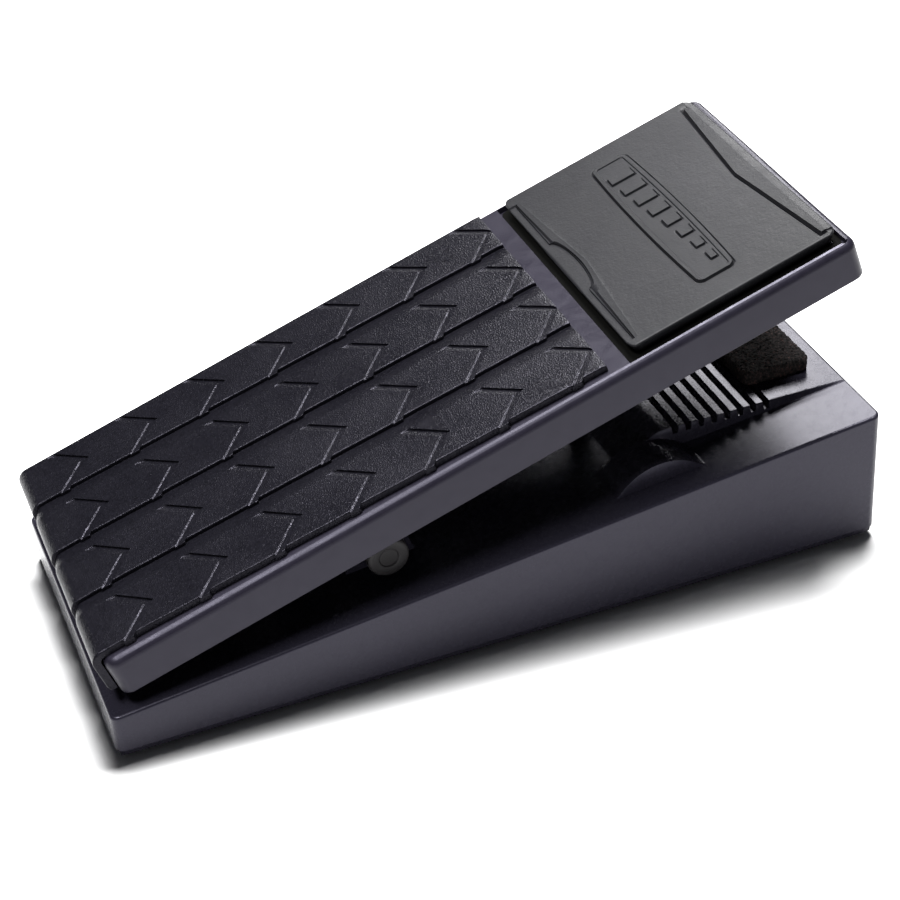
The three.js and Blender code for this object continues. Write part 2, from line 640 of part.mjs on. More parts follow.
/** The rubber tread: a sheet with lane grooves that wraps down over the heel end. */
function treadMat() {
  const { noseU, toeU, width, top, noseRadius, noseBottom, noseThickness } = MAT;
  const underside = TREADLE.depth + GAP;
  const shape = new THREE.Shape();
  shape.moveTo(toeU, underside);
  shape.lineTo(toeU, top);
  shape.absarc(noseU + noseRadius, top - noseRadius, noseRadius, Math.PI / 2, Math.PI, false);
  shape.lineTo(noseU, noseBottom);
  shape.lineTo(noseU + noseThickness, noseBottom);
  shape.lineTo(noseU + noseThickness, underside);
  const sheet = across(shape, [-width / 2, width / 2], 6);
  const grooves = [];
  for (let i = 1; i < LANE.count; i += 1) {
    const v = LANE.firstEdge + i * LANE.pitch;
    grooves.push(block([noseU + noseRadius, toeU + 1], [v - LANE.groove, v], [top - LANE.grooveDepth, top + 1]));
    grooves.push(block([noseU - 1, noseU + 0.8], [v - LANE.groove, v], [noseBottom - 1, top - noseRadius]));
  }
  return cutAll(sheet, grooves);
}

/** The smooth toe pad, sunk in the treadle's recess, with a raised plain badge plate. */
function toePad() {
  const bottom = PAD_RECESS.floor + GAP;
  const plan = roundedRectangle([PAD.heelU, PAD.toeU], [-PAD.width / 2, PAD.width / 2], PAD.cornerRadius);
  const halfBadge = BADGE.width / 2;
  const badge = roundedRectangle([BADGE.heelU, BADGE.toeU], [-halfBadge, halfBadge], BADGE.cornerRadius);
  return raised(plan, [bottom, PAD.top]).add(raised(badge, [PAD.top - 1, BADGE.top]));
}

/** The folded steel bracket that hangs the treadle on its axle, centred on the pivot. */
function pivotBracket() {
  const { halfLength: reach, earInner, thickness, bottom, earRadius } = BRACKET;
  const low = bottom - TREADLE_PIVOT.w;
  const high = low + thickness;
  const ear = new THREE.Shape();
  ear.moveTo(-reach, high);
  ear.lineTo(-reach, low);
  ear.absarc(0, 0, earRadius, degrees(190), degrees(350), false);
  ear.lineTo(reach, low);
  ear.lineTo(reach, high);
  const outer = earInner + thickness;
  const web = block([-reach, reach], [-outer, outer], [low, high]);
  const ears = [across(ear, [-outer, -earInner]), across(ear, [earInner, outer])];
  const holes = [bar("y", PIVOT.axleRadius + GAP, [-outer - 1, outer + 1], [0, 0, 0], ROUND)];
  for (const side of [-1, 1]) {
    for (const end of [-1, 1]) {
      holes.push(bar("z", 1.7, [low - 1, high + 1], [end * BRACKET_SCREW.u, side * BRACKET_SCREW.v, 0]));
    }
  }
  return cutAll(joinAll([web, ...ears]), holes);
}

/** A moulded cap pushed on the end of the axle. */
function axleCap(side) {
  const edge = 1;
  const bore = PIVOT.axleRadius + GAP;
  const profile = [
    [0, AXLE_CAP.boreEnd],
    [bore, AXLE_CAP.boreEnd],
    [bore, AXLE_CAP.innerY],
    [AXLE_CAP.radius, AXLE_CAP.innerY],
    [AXLE_CAP.radius, AXLE_CAP.outerY - edge],
    [AXLE_CAP.radius - edge, AXLE_CAP.outerY],
    [0, AXLE_CAP.outerY],
  ];
  const placed = profile.map(([radius, along]) => [radius, side * along]);
  return turned("y", placed, [0, 0, 0], ROUND);
}

// ------------------------------------------------------------------------ assembly

const SIDES = [["near", -1], ["far", 1]];
const ENDS = [["heel", -1], ["toe", 1]];

function baseGroup() {
  const group = new THREE.Group();
  group.add(piece("base_housing", baseHousing(), "housing"));
  group.add(piece("bottom_plate", bottomPlate(), "plate"));
  group.add(piece("toe_foam_bumper", foamBumper(), "foam"));
  for (const [sideName, side] of SIDES) {
    group.add(piece(`heel_bumper_${sideName}`, heelBumper(side), "foot"));
    group.add(piece(`pivot_bush_${sideName}`, pivotBush(side), "bush"));
    for (const [endName, end] of ENDS) {
      group.add(piece(`foot_${endName}_${sideName}`, foot(end * FOOT.x, side * FOOT.y), "foot"));
    }
    BASE_SCREW.xs.forEach((x, i) => {
      const place = [x, side * BASE_SCREW.y, PLATE.bottom];
      group.add(piece(`bottom_screw_${sideName}_${i + 1}`, flatHeadScrew(place), "steel"));
    });
  }
  return group;
}

function electricsGroup() {
  const group = new THREE.Group();
  const potAxis = [pinionX, 0, pinionZ];
  const jackAxis = [0, JACK.y, JACK.z];
  const bracketBack = POT_BRACKET.faceY + POT_BRACKET.thickness;
  group.add(piece("pot_body", potBody(), "resin"));
  group.add(piece("pot_bracket", potBracket(), "bracket"));
  group.add(piece("pot_nut", nut("y", 14, 5, [bracketBack + GAP, bracketBack + 2.5], potAxis), "steel"));
  [-1, 1].forEach((side, i) => {
    const place = [pinionX + side * POT_SCREW.fromAxis, POT_SCREW.y, POT_BRACKET.foot - GAP];
    group.add(piece(`pot_bracket_screw_${i + 1}`, screw("z", INNER_SCREW, place), "steel"));
  });
  group.add(piece("jack_body", jackBody(), "resin"));
  group.add(piece("jack_washer", ring("x", 5.1, 8.2, [120.8, 121.5], jackAxis, ROUND), "steel"));
  group.add(piece("jack_nut", nut("x", 15, 5.1, [121.8, 123.9], jackAxis), "steel"));
  group.add(piece("wire_red", wire(-4), "redWire"));
  group.add(piece("wire_white", wire(0), "whiteWire"));
  group.add(piece("wire_black", wire(4), "blackWire"));
  return group;
}

function potShaftGroup() {
  const group = new THREE.Group();
  const shaft = bar("y", POT.shaftRadius, [POT.face - 1.2, 5], [pinionX, 0, pinionZ], ROUND);
  group.add(piece("pot_shaft", shaft, "steel"));
  group.add(piece("pinion_gear", pinion(), "gear"));
  return group;
}

/** Everything that rocks, in a frame centred on the pivot and tilted heel-down. */
function treadleGroup() {
  const onPivot = new THREE.Group();
  onPivot.add(piece("pivot_bracket", pivotBracket(), "bracket"));
  onPivot.add(piece("gear_sector", gearSector(), "gear"));
  const axle = bar("y", PIVOT.axleRadius, [-PIVOT.axleHalfLength, PIVOT.axleHalfLength], [0, 0, 0], ROUND);
  onPivot.add(piece("pivot_axle", axle, "steel"));
  for (const [sideName, side] of SIDES) {
    onPivot.add(piece(`axle_cap_${sideName}`, axleCap(side), "cap"));
  }
  const board = new THREE.Group();
  board.position.set(-TREADLE_PIVOT.u, 0, -TREADLE_PIVOT.w);
  board.add(piece("treadle_shell", treadleShell(), "treadle"));
  board.add(piece("tread_mat", treadMat(), "mat"));
  board.add(piece("toe_pad", toePad(), "pad"));
  treadleScrewPlaces().forEach((place, i) => {
    board.add(piece(`treadle_screw_${i + 1}`, screw("z", INNER_SCREW, place), "steel"));
  });
  onPivot.add(board);
  onPivot.position.set(PIVOT.x, 0, PIVOT.z);
  onPivot.rotation.y = -degrees(TREADLE.tilt);
  return onPivot;
}

/** Moves the group so that its outline is centred on the origin and stands on the floor. */
function standOnFloor(group) {
  const outline = new THREE.Box3().setFromObject(group, true);
  const centre = outline.getCenter(new THREE.Vector3());
  group.position.set(-centre.x, -centre.y, -outline.min.z);
  return group;
}

const pedal = new THREE.Group();
pedal.add(baseGroup(), electricsGroup(), potShaftGroup(), treadleGroup());
standOnFloor(pedal);

export default pedal;
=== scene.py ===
"""An expression pedal in soft studio light: its looks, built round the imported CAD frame.

Every piece is shaped in millimetres, either in the housing's own frame or in the treadle's
(u from heel to toe, v across, w out of the tread), and is then placed in the row frame.
"""

import json
import math

import bmesh
import bpy
import numpy as np
from mathutils import Matrix, Vector


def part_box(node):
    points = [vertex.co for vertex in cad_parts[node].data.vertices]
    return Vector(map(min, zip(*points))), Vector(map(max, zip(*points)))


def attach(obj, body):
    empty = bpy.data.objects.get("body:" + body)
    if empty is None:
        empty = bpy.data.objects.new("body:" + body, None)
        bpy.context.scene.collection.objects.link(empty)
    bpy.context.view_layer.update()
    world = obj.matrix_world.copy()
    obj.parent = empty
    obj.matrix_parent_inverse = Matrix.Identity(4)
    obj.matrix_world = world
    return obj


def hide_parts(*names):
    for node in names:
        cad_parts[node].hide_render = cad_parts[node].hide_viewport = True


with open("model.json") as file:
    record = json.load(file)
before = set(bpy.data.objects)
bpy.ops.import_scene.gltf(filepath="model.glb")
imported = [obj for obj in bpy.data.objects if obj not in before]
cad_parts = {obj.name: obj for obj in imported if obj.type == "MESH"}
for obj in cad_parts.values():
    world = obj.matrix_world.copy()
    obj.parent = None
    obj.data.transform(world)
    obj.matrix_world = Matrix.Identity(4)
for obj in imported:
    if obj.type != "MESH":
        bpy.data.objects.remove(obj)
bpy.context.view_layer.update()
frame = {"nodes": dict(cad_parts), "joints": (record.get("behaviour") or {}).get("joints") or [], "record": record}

MM = 0.001

# ----------------------------------------------------------------- sizes from the frame

housing_low, housing_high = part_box("base_housing")
joints = {joint["name"]: joint for joint in frame["joints"]}
PIVOT = Vector(joints["treadle_pivot"]["pos_m"])

LENGTH = (housing_high.x - housing_low.x) / MM
WIDTH = (housing_high.y - housing_low.y) / MM
TOE_HEIGHT = (housing_high.z - housing_low.z) / MM
HEEL_HEIGHT = 14.9
HALF_LENGTH = LENGTH / 2
HALF_WIDTH = WIDTH / 2
DECK_SLOPE = (TOE_HEIGHT - HEEL_HEIGHT) / LENGTH

SIDES = {"near": -1, "far": 1}
SIGNS = (-1, 1)
TILT = math.radians(17.77)
PIVOT_U = 86
PIVOT_W = -13.9

housing_middle = (housing_low.x + housing_high.x) / 2
TO_HOUSING = Matrix.Translation((housing_middle, 0, housing_low.z)) @ Matrix.Scale(MM, 4)
TO_PIVOT = Matrix.Translation(PIVOT) @ Matrix.Rotation(-TILT, 4, "Y") @ Matrix.Scale(MM, 4)
TO_TREADLE = TO_PIVOT @ Matrix.Translation((-PIVOT_U, 0, -PIVOT_W))

pivot_in_housing = TO_HOUSING.inverted() @ PIVOT
pinion = TO_HOUSING.inverted() @ Vector(joints["pot_turn"]["pos_m"])
pinion.y = 0


def housing_box(name):
    """A CAD node's box in the housing's own frame."""
    to_local = TO_HOUSING.inverted()
    low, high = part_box(name)
    return to_local @ low, to_local @ high


# ------------------------------------------------------------------------------ camera

CAMERA_AZIMUTH = math.radians(-18.94)
CAMERA_ELEVATION = math.radians(35.15)
CAMERA_ROLL = math.radians(-4.19)
CAMERA_DISTANCE = 0.6955
CAMERA_TARGET = TO_HOUSING @ Vector((2.47, 1.16, 34.93))
CAMERA_LENS = 88.04


def add_object(name, data):
    thing = bpy.data.objects.new(name, data)
    bpy.context.scene.collection.objects.link(thing)
    return thing


def make_camera():
    """A camera turned round its target by azimuth and elevation, and rolled a little."""
    back = Vector((
        math.sin(CAMERA_AZIMUTH) * math.cos(CAMERA_ELEVATION),
        -math.cos(CAMERA_AZIMUTH) * math.cos(CAMERA_ELEVATION),
        math.sin(CAMERA_ELEVATION),
    ))
    right = (-back).cross(Vector((0, 0, 1))).normalized()
    up = back.cross(right)
    turned_right = right * math.cos(CAMERA_ROLL) + up * math.sin(CAMERA_ROLL)
    turned_up = up * math.cos(CAMERA_ROLL) - right * math.sin(CAMERA_ROLL)
    data = bpy.data.cameras.new("camera")
    data.lens = CAMERA_LENS
    data.sensor_width = 36
    camera = add_object("camera", data)
    turn = Matrix((turned_right, turned_up, back)).transposed().to_4x4()
    camera.matrix_world = Matrix.Translation(CAMERA_TARGET + back * CAMERA_DISTANCE) @ turn
    bpy.context.scene.camera = camera


# ------------------------------------------------------------------------ mesh helpers

SHARP_ANGLE = 40
LATHE_ANGLE = 35
BEVEL_ANGLE = math.radians(35)
CLOSEST_LINES = 0.04
POST_REACH = 4.5
POST_STEP = 0.75


def smooth(low, high, value):
    """0 below low, 1 above high, and an S-curve between them."""
    share = np.clip((value - low) / (high - low), 0, 1)
    return share * share * (3 - 2 * share)


def rise(place, half, value):
    """0 before a place, 1 after it, and an S-curve of the given half length between them."""
    return smooth(place - half, place + half, value)


def within(low, high, half, value):
    """1 between two places, 0 outside them, and an S-curve of the given half length at each."""
    return rise(low, half, value) * (1 - rise(high, half, value))


def beside(*places, offsets):
    return np.array([place + offset for place in places for offset in offsets])


def around(half, *places):
    """Lines just before and just after each place."""
    return beside(*places, offsets=(-half, half))


def both_sides(*places):
    """The given lines and their mirror images."""
    lines = np.concatenate([np.atleast_1d(place) for place in places])
    return np.concatenate([-lines, lines])


def grid_lines(low, high, step, *places):
    """Even lines from low to high with extra ones at the given places, none of them too close."""
    even = np.linspace(low, high, int(round((high - low) / step)) + 1)
    lines = np.concatenate([even, *[np.atleast_1d(place) for place in places]])
    lines = np.unique(np.round(lines[(lines >= low) & (lines <= high)], 3))
    keep = [lines[0]]
    for line in lines[1:]:
        if line - keep[-1] >= CLOSEST_LINES:
            keep.append(line)
    keep[-1] = high
    return np.array(keep)


def spread(start, end, count=5):
    """Lines that follow an S-curve step from start to end."""
    return np.linspace(start, end, count)


def quarter_lines(radius, count=6):
    """Lines that follow a quarter round of the given radius, by distance from its edge."""
    return radius * (1 - np.cos(np.linspace(0, math.pi / 2, count)))


def rim_lines(low, high, radius, count=6):
    """Lines that follow a round edge of the given radius at both ends."""
    return np.concatenate([low + quarter_lines(radius, count), high - quarter_lines(radius, count)])


def post_lines(*places):
    """Lines close enough together to shape a round post at each place."""
    return beside(*places, offsets=np.arange(-POST_REACH, POST_REACH + POST_STEP, POST_STEP))


def shade_smooth(mesh, angle):
    """Shades a mesh smooth between the edges that are sharper than the angle, in degrees."""
    for polygon in mesh.polygons:
        polygon.use_smooth = True
    mesh.set_sharp_from_angle(angle=math.radians(angle))


def finish_mesh(name, bm, matrix, angle=SHARP_ANGLE):
    """Turns a bmesh in millimetres into an object in the row frame."""
    bmesh.ops.recalc_face_normals(bm, faces=bm.faces)
    mesh = bpy.data.meshes.new(name)
    bm.to_mesh(mesh)
    bm.free()
    mesh.transform(matrix)
    shade_smooth(mesh, angle)
    return add_object(name, mesh)


def apply_modifiers(piece, angle=SHARP_ANGLE):
    depsgraph = bpy.context.evaluated_depsgraph_get()
    mesh = bpy.data.meshes.new_from_object(piece.evaluated_get(depsgraph))
    piece.modifiers.clear()
    piece.data = mesh
    shade_smooth(mesh, angle)


def weight_normals(piece):
    """Large faces keep their own normals, so that flat walls stay flat beside rounded edges."""
    modifier = piece.modifiers.new("weighted", "WEIGHTED_NORMAL")
    modifier.keep_sharp = True


def combine(piece, others, operation):
    """Joins closed solids to a closed piece, or takes them out of it."""
    for other in others:
        modifier = piece.modifiers.new("combine", "BOOLEAN")
        modifier.operation = operation
        modifier.solver = "EXACT"
        modifier.object = other
    apply_modifiers(piece)
    for other in others:
        bpy.data.objects.remove(other)


def cut(piece, cutters):
    combine(piece, cutters, "DIFFERENCE")


def join(piece, additions):
    combine(piece, additions, "UNION")


def outline_map(xs, ys, corner):
    """Plan positions of a grid whose four corner squares are bent onto quarter discs.

    Returns the positions in x and in y, and the distance in from the outline.
    """
    grid_x, grid_y = np.meshgrid(xs, ys, indexing="ij")
    from_edge = np.minimum(
        np.minimum(grid_x - xs[0], xs[-1] - grid_x),
        np.minimum(grid_y - ys[0], ys[-1] - grid_y),
    )
    centre_x = np.clip(grid_x, xs[0] + corner, xs[-1] - corner)
    centre_y = np.clip(grid_y, ys[0] + corner, ys[-1] - corner)
    out_x = grid_x - centre_x
    out_y = grid_y - centre_y
    reach = np.hypot(out_x, out_y)
    longest = np.maximum(np.abs(out_x), np.abs(out_y))
    ratio = np.where(reach > 0, longest / np.maximum(reach, 1e-9), 1)
    return centre_x + out_x * ratio, centre_y + out_y * ratio, from_edge


def round_edge(from_edge, radius):
    """How far a round edge falls below a face, by distance in from the outline."""
    inside = radius - np.minimum(from_edge, radius)
    return radius - np.sqrt(np.maximum(0, radius * radius - inside * inside))


def sheet_vertices(bm, *coordinates):
    """Adds a vertex for each cell of the coordinate arrays, and returns them by row and column."""
    points = np.stack(coordinates, axis=-1)
    return [[bm.verts.new(point) for point in row] for row in points]


def close_sheets(bm, up, down, solid):
    """Fills the solid cells of two sheets and the walls where they end, and drops unused vertices."""
    rows, columns = solid.shape
    padded = np.pad(solid, 1)
    for i in range(rows):
        for j in range(columns):
            if not solid[i, j]:
                continue
            corners = ((i, j), (i + 1, j), (i + 1, j + 1), (i, j + 1))
            bm.faces.new([up[a][b] for a, b in corners])
            bm.faces.new([down[a][b] for a, b in reversed(corners)])
            neighbours = (padded[i + 1, j], padded[i + 2, j + 1], padded[i + 1, j + 2], padded[i, j + 1])
            for (a, b), (c, d), neighbour in zip(corners, corners[1:] + corners[:1], neighbours):
                if not neighbour:
                    bm.faces.new((up[c][d], up[a][b], down[a][b], down[c][d]))
    loose = [vert for vert in bm.verts if not vert.link_faces]
    bmesh.ops.delete(bm, geom=loose, context="VERTS")


def flat_at(height):
    """A flat face, as a function of the plan."""
    return lambda x, y: np.full_like(x, height)


def relief(name, xs, ys, top, bottom, corner, matrix, top_edge, bottom_edge, hole=None, undercut=0,
           angle=SHARP_ANGLE, warp=None):
    """A closed moulding between a top and an underside, both given as functions of the plan.

    hole(x, y) says which grid cells are open right through, and undercut is how far the
    side walls lean in on their way down. warp(x, y) moves the grid along x, so that its
    lines follow curved edges of the relief. top_edge is one radius or a function of the plan.
    """
    plan_x, plan_y, from_edge = outline_map(xs, ys, corner)
    upper_edge = top_edge(plan_x, plan_y) if callable(top_edge) else top_edge
    upper = top(plan_x, plan_y) - round_edge(from_edge, upper_edge)
    lower = bottom(plan_x, plan_y) + round_edge(from_edge, bottom_edge)
    if warp is not None:
        plan_x = warp(plan_x, plan_y)
    middle_x = (xs[0] + xs[-1]) / 2
    middle_y = (ys[0] + ys[-1]) / 2
    low_x = middle_x + (plan_x - middle_x) * (1 - 2 * undercut / (xs[-1] - xs[0]))
    low_y = middle_y + (plan_y - middle_y) * (1 - 2 * undercut / (ys[-1] - ys[0]))
    bm = bmesh.new()
    up = sheet_vertices(bm, plan_x, plan_y, upper)
    down = sheet_vertices(bm, low_x, low_y, lower)
    cell_x, cell_y = np.meshgrid((xs[:-1] + xs[1:]) / 2, (ys[:-1] + ys[1:]) / 2, indexing="ij")
    close_sheets(bm, up, down, np.ones_like(cell_x, bool) if hole is None else ~hole(cell_x, cell_y))
    return finish_mesh(name, bm, matrix, angle)


AXIS_TURN = {
    "X": Matrix.Rotation(math.pi / 2, 4, "Y"),
    "Y": Matrix.Rotation(-math.pi / 2, 4, "X"),
    "Z": Matrix(),
}


def circle(radius, facets):
    """Points round a circle."""
    turns = [2 * math.pi * k / facets for k in range(facets)]
    return [(radius * math.cos(turn), radius * math.sin(turn)) for turn in turns]


def lathe(name, profile, matrix, axis="Z", facets=64):
    """A turned piece from (radius, place along the axis) points, closed on the axis or on itself."""
    bm = bmesh.new()
    rings = []
    for radius, along in profile:
        points = circle(radius, facets) if radius else [(0, 0)]
        rings.append([bm.verts.new((x, y, along)) for x, y in points])
    pairs = list(zip(rings, rings[1:]))
    if profile[0][0]:
        pairs.append((rings[-1], rings[0]))
    for one, two in pairs:
        for k in range(facets):
            after = (k + 1) % facets
            corners = [one[k % len(one)], one[after % len(one)], two[after % len(two)], two[k % len(two)]]
            unique = list(dict.fromkeys(corners))
            if len(unique) > 2:
                bm.faces.new(unique)
    return finish_mesh(name, bm, matrix @ AXIS_TURN[axis], LATHE_ANGLE)


def bar(name, radius, start, end, matrix, axis):
    """A plain round bar, used for joining to a moulding or for cutting it."""
    return lathe(name, [(0, start), (radius, start), (radius, end), (0, end)], matrix, axis)


def extruded(name, points, low, high, matrix, bevel, segments=3):
    """A flat outline in X and Z run along Y from low to high, with small round edges."""
    bm = bmesh.new()
    front = [bm.verts.new((x, low, z)) for x, z in points]
    back = [bm.verts.new((x, high, z)) for x, z in points]
    bm.faces.new(front)
    bm.faces.new(back)
    for k in range(len(points)):
        after = (k + 1) % len(points)
        bm.faces.new((front[k], front[after], back[after], back[k]))
    bmesh.ops.recalc_face_normals(bm, faces=bm.faces)
    sharp = [edge for edge in bm.edges if edge.calc_face_angle(0) > BEVEL_ANGLE]
    bmesh.ops.bevel(bm, geom=sharp, offset=bevel, segments=segments, profile=0.5, affect="EDGES")
    return finish_mesh(name, bm, matrix)


# --------------------------------------------------------------------------- materials


class Look:
    """A node material with a Principled shader and a few ways to add detail to it."""

    def __init__(self, name, color, roughness, **values):
        self.name = name
        self.material = bpy.data.materials.new(name)
        self.material.use_nodes = True
        self.nodes = self.material.node_tree.nodes
        self.links = self.material.node_tree.links
        self.shader = self.nodes["Principled BSDF"]
        self.set_inputs(self.shader, Base_Color=(*color, 1), Roughness=roughness, **values)
        self.place = self.nodes.new("ShaderNodeTexCoord").outputs["Object"]
        self.height = None

    def set_inputs(self, node, **values):
        """Sets a node's inputs by name, with underscores for spaces."""
        for socket, value in values.items():
            node.inputs[socket.replace("_", " ")].default_value = value

    def add(self, kind, socket, source, **values):
        """Adds a node, sets its inputs and links a source to one of its sockets."""
        node = self.nodes.new("ShaderNode" + kind)
        self.set_inputs(node, **values)
        self.links.new(source, node.inputs[socket])
        return node

    def stretched(self, scale):
        """Object coordinates stretched along the axes, for brushed or drawn finishes."""
        return self.add("Mapping", "Vector", self.place, Scale=scale).outputs["Vector"]

    def noise(self, scale, detail=3.0, roughness=0.55, place=None):
        source = place or self.place
        node = self.add("TexNoise", "Vector", source, Scale=scale, Detail=detail, Roughness=roughness)
        return node.outputs["Fac"]

    def cells(self, scale, feature):
        node = self.add("TexVoronoi", "Vector", self.place)
        node.feature = feature
        self.set_inputs(node, Scale=scale)
        return node.outputs["Distance"]

    def tint(self, source, stops):
        """Base colour from a value, through a ramp of (place, colour) stops."""
        node = self.add("ValToRGB", "Fac", source)
        ramp = node.color_ramp.elements
        for element, (position, color) in zip(ramp, (stops[0], stops[-1])):
            element.position = position
            element.color = (*color, 1)
        for position, color in stops[1:-1]:
            ramp.new(position).color = (*color, 1)
        self.links.new(node.outputs["Color"], self.shader.inputs["Base Color"])

    def cloud(self, source, color, darker, lighter):
        """Base colour that drifts between a darker and a lighter shade."""
        self.tint(source, [(0.3, shade(color, darker)), (0.7, shade(color, lighter))])

    def rough(self, source, smoother, rougher, low=0.3, high=0.7):
        """Roughness that drifts between two values."""
        node = self.add(
            "MapRange", "Value", source,
            From_Min=low, From_Max=high, To_Min=smoother, To_Max=rougher,
        )
        self.links.new(node.outputs["Result"], self.shader.inputs["Roughness"])

    def bump(self, source, distance, strength=1.0):
        """Adds a bump, in metres of height, on top of the ones already there."""
        node = self.add("Bump", "Height", source, Distance=distance, Strength=strength)
        if self.height is not None:
            self.links.new(self.height, node.inputs["Normal"])
        self.height = node.outputs["Normal"]
        self.links.new(self.height, self.shader.inputs["Normal"])


def shade(color, factor):
    return tuple(channel * factor for channel in color)


PLAIN_GLOSS = (1, 1, 1, 1)
COOL_GLOSS = (0.84, 0.81, 1.0, 1)


def moulded_plastic(name, color, roughness, gloss=0.3, gloss_tint=PLAIN_GLOSS, scuffs=0.06):
    """Satin moulded plastic: a fine spark-eroded grain and an unevenness in its gloss from handling."""
    look = Look(name, color, roughness, Specular_IOR_Level=gloss, Specular_Tint=gloss_tint)
    look.cloud(look.noise(14, 4), color, 0.88, 1.12)
    look.rough(look.noise(260, 8, 0.75), roughness - scuffs, roughness + scuffs, 0.32, 0.68)
    look.bump(look.noise(2600, 3), 0.00003, 0.5)
    look.bump(look.noise(45, 2), 0.00006, 0.25)
    return look


def grained_rubber(name, color, roughness, gloss):
    """Rubber with a leather-like grain of small pebbles and creases."""
    cell = 1400
    depth = 0.0002
    look = Look(name, color, roughness, Specular_IOR_Level=gloss, Specular_Tint=COOL_GLOSS)
    look.tint(look.noise(900, 3), [(0.3, shade(color, 0.8)), (0.72, shade(color, 1.6))])
    look.rough(look.noise(40, 4), roughness - 0.06, roughness + 0.08)
    look.bump(look.cells(cell, "DISTANCE_TO_EDGE"), depth, 0.8)
    look.bump(look.noise(cell, 2), depth * 0.6, 0.7)
    return look


def smooth_rubber(name, color, roughness, gloss=0.3, mottle=0.00001):
    """Plain matte rubber with a faint bloom and handling marks, and shallow lumps of a given height."""
    look = Look(name, color, roughness, Specular_IOR_Level=gloss)
    look.cloud(look.noise(22, 5), color, 0.8, 1.2)
    look.rough(look.noise(38, 6, 0.65), roughness - 0.07, roughness + 0.09)
    look.bump(look.noise(1100, 3), mottle)
    look.bump(look.noise(160, 3), mottle * 2)
    return look


def open_foam(name):
    """Coarse black foam with a few brown specks, and its darkest patches painted as shade in its pores."""
    look = Look(name, (0.008, 0.008, 0.008), 0.95, Specular_IOR_Level=0.2)
    # The darkest stop is painted shade in the foam's pores, not a colour of the foam itself.
    pore_shade = (0.002, 0.002, 0.002)
    walls = (0.014, 0.012, 0.012)
    specks = (0.07, 0.036, 0.032)
    look.tint(look.noise(1100, 4, 0.7), [(0.35, pore_shade), (0.55, walls), (0.72, specks)])
    look.bump(look.cells(1300, "F1"), 0.0006)
    look.bump(look.noise(2600, 4, 0.7), 0.0004)
    return look


def powder_coat(name, color, roughness=0.45):
    look = Look(name, color, roughness, Specular_IOR_Level=0.5)
    look.cloud(look.noise(30, 3), color, 0.9, 1.15)
    look.rough(look.noise(500, 3), roughness - 0.05, roughness + 0.1)
    look.bump(look.noise(1700, 2), 0.00004, 0.7)
    return look


def plated_steel(name, roughness=0.3):
    """Zinc-plated steel with fine turning marks."""
    look = Look(name, (0.56, 0.57, 0.58), roughness, Metallic=1.0)
    streaks = look.noise(400, 4, 0.6, look.stretched((1, 1, 14)))
    look.tint(streaks, [(0.3, (0.42, 0.43, 0.45)), (0.7, (0.66, 0.66, 0.66))])
    look.rough(look.noise(700, 3), roughness - 0.06, roughness + 0.12)
    look.bump(streaks, 0.00001, 0.4)
    return look


def wire_cover(name, color):
    look = Look(name, color, 0.4, Specular_IOR_Level=0.5)
    look.cloud(look.noise(300, 2), color, 0.85, 1.1)
    look.bump(look.noise(1500, 2), 0.00002, 0.4)
    return look


HOUSING_COLOR = (0.0105, 0.0098, 0.0148)
TREADLE_COLOR = (0.007, 0.0062, 0.0102)
LOOKS = (
    moulded_plastic("housing_plastic", HOUSING_COLOR, 0.27, 0.21, COOL_GLOSS, scuffs=0.03),
    moulded_plastic("treadle_plastic", TREADLE_COLOR, 0.38, 0.225, COOL_GLOSS, scuffs=0.08),
    grained_rubber("tread_rubber", (0.0024, 0.0023, 0.0033), 0.3, gloss=0.125),
    smooth_rubber("pad_rubber", (0.0065, 0.0065, 0.0078), 0.46, gloss=0.135, mottle=0.00006),
    # A near-black, matte rubber for the floor of the pad's recess: painted shade in the moat round the pad.
    smooth_rubber("moat_shade_rubber", (0.0012, 0.0012, 0.001), 0.85, gloss=0.05),
    open_foam("foam"),
    smooth_rubber("foot_rubber", (0.012, 0.012, 0.012), 0.7),
    powder_coat("plate_steel", (0.018, 0.018, 0.02)),
    plated_steel("fastener_steel"),
    powder_coat("bracket_steel", (0.013, 0.013, 0.014), 0.4),
    moulded_plastic("cap_plastic", (0.013, 0.012, 0.013), 0.55),
    moulded_plastic("bush_plastic", (0.62, 0.6, 0.54), 0.45),
    moulded_plastic("gear_plastic", (0.014, 0.014, 0.015), 0.4),
    moulded_plastic("component_plastic", (0.014, 0.014, 0.015), 0.35),
    wire_cover("wire_red", (0.4, 0.02, 0.015)),
    wire_cover("wire_white", (0.7, 0.69, 0.64)),
    wire_cover("wire_black", (0.012, 0.012, 0.012)),
)
MATERIALS = {look.name: look.material for look in LOOKS}


def dress(piece, slot_name, body=None, replaced=(), look=None):
    """Gives a piece the material named by its slot and its body, and hides the CAD nodes that it stands for.

    A CAD node has a body already, so it is given none. look is for a piece whose material
    differs from its slot's.
    """
    piece.data.materials.clear()
    piece.data.materials.append(MATERIALS[look or slot_name])
    if body is not None:
        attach(piece, body)
    if replaced:
        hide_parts(*replaced)


# ----------------------------------------------------------------------------- housing

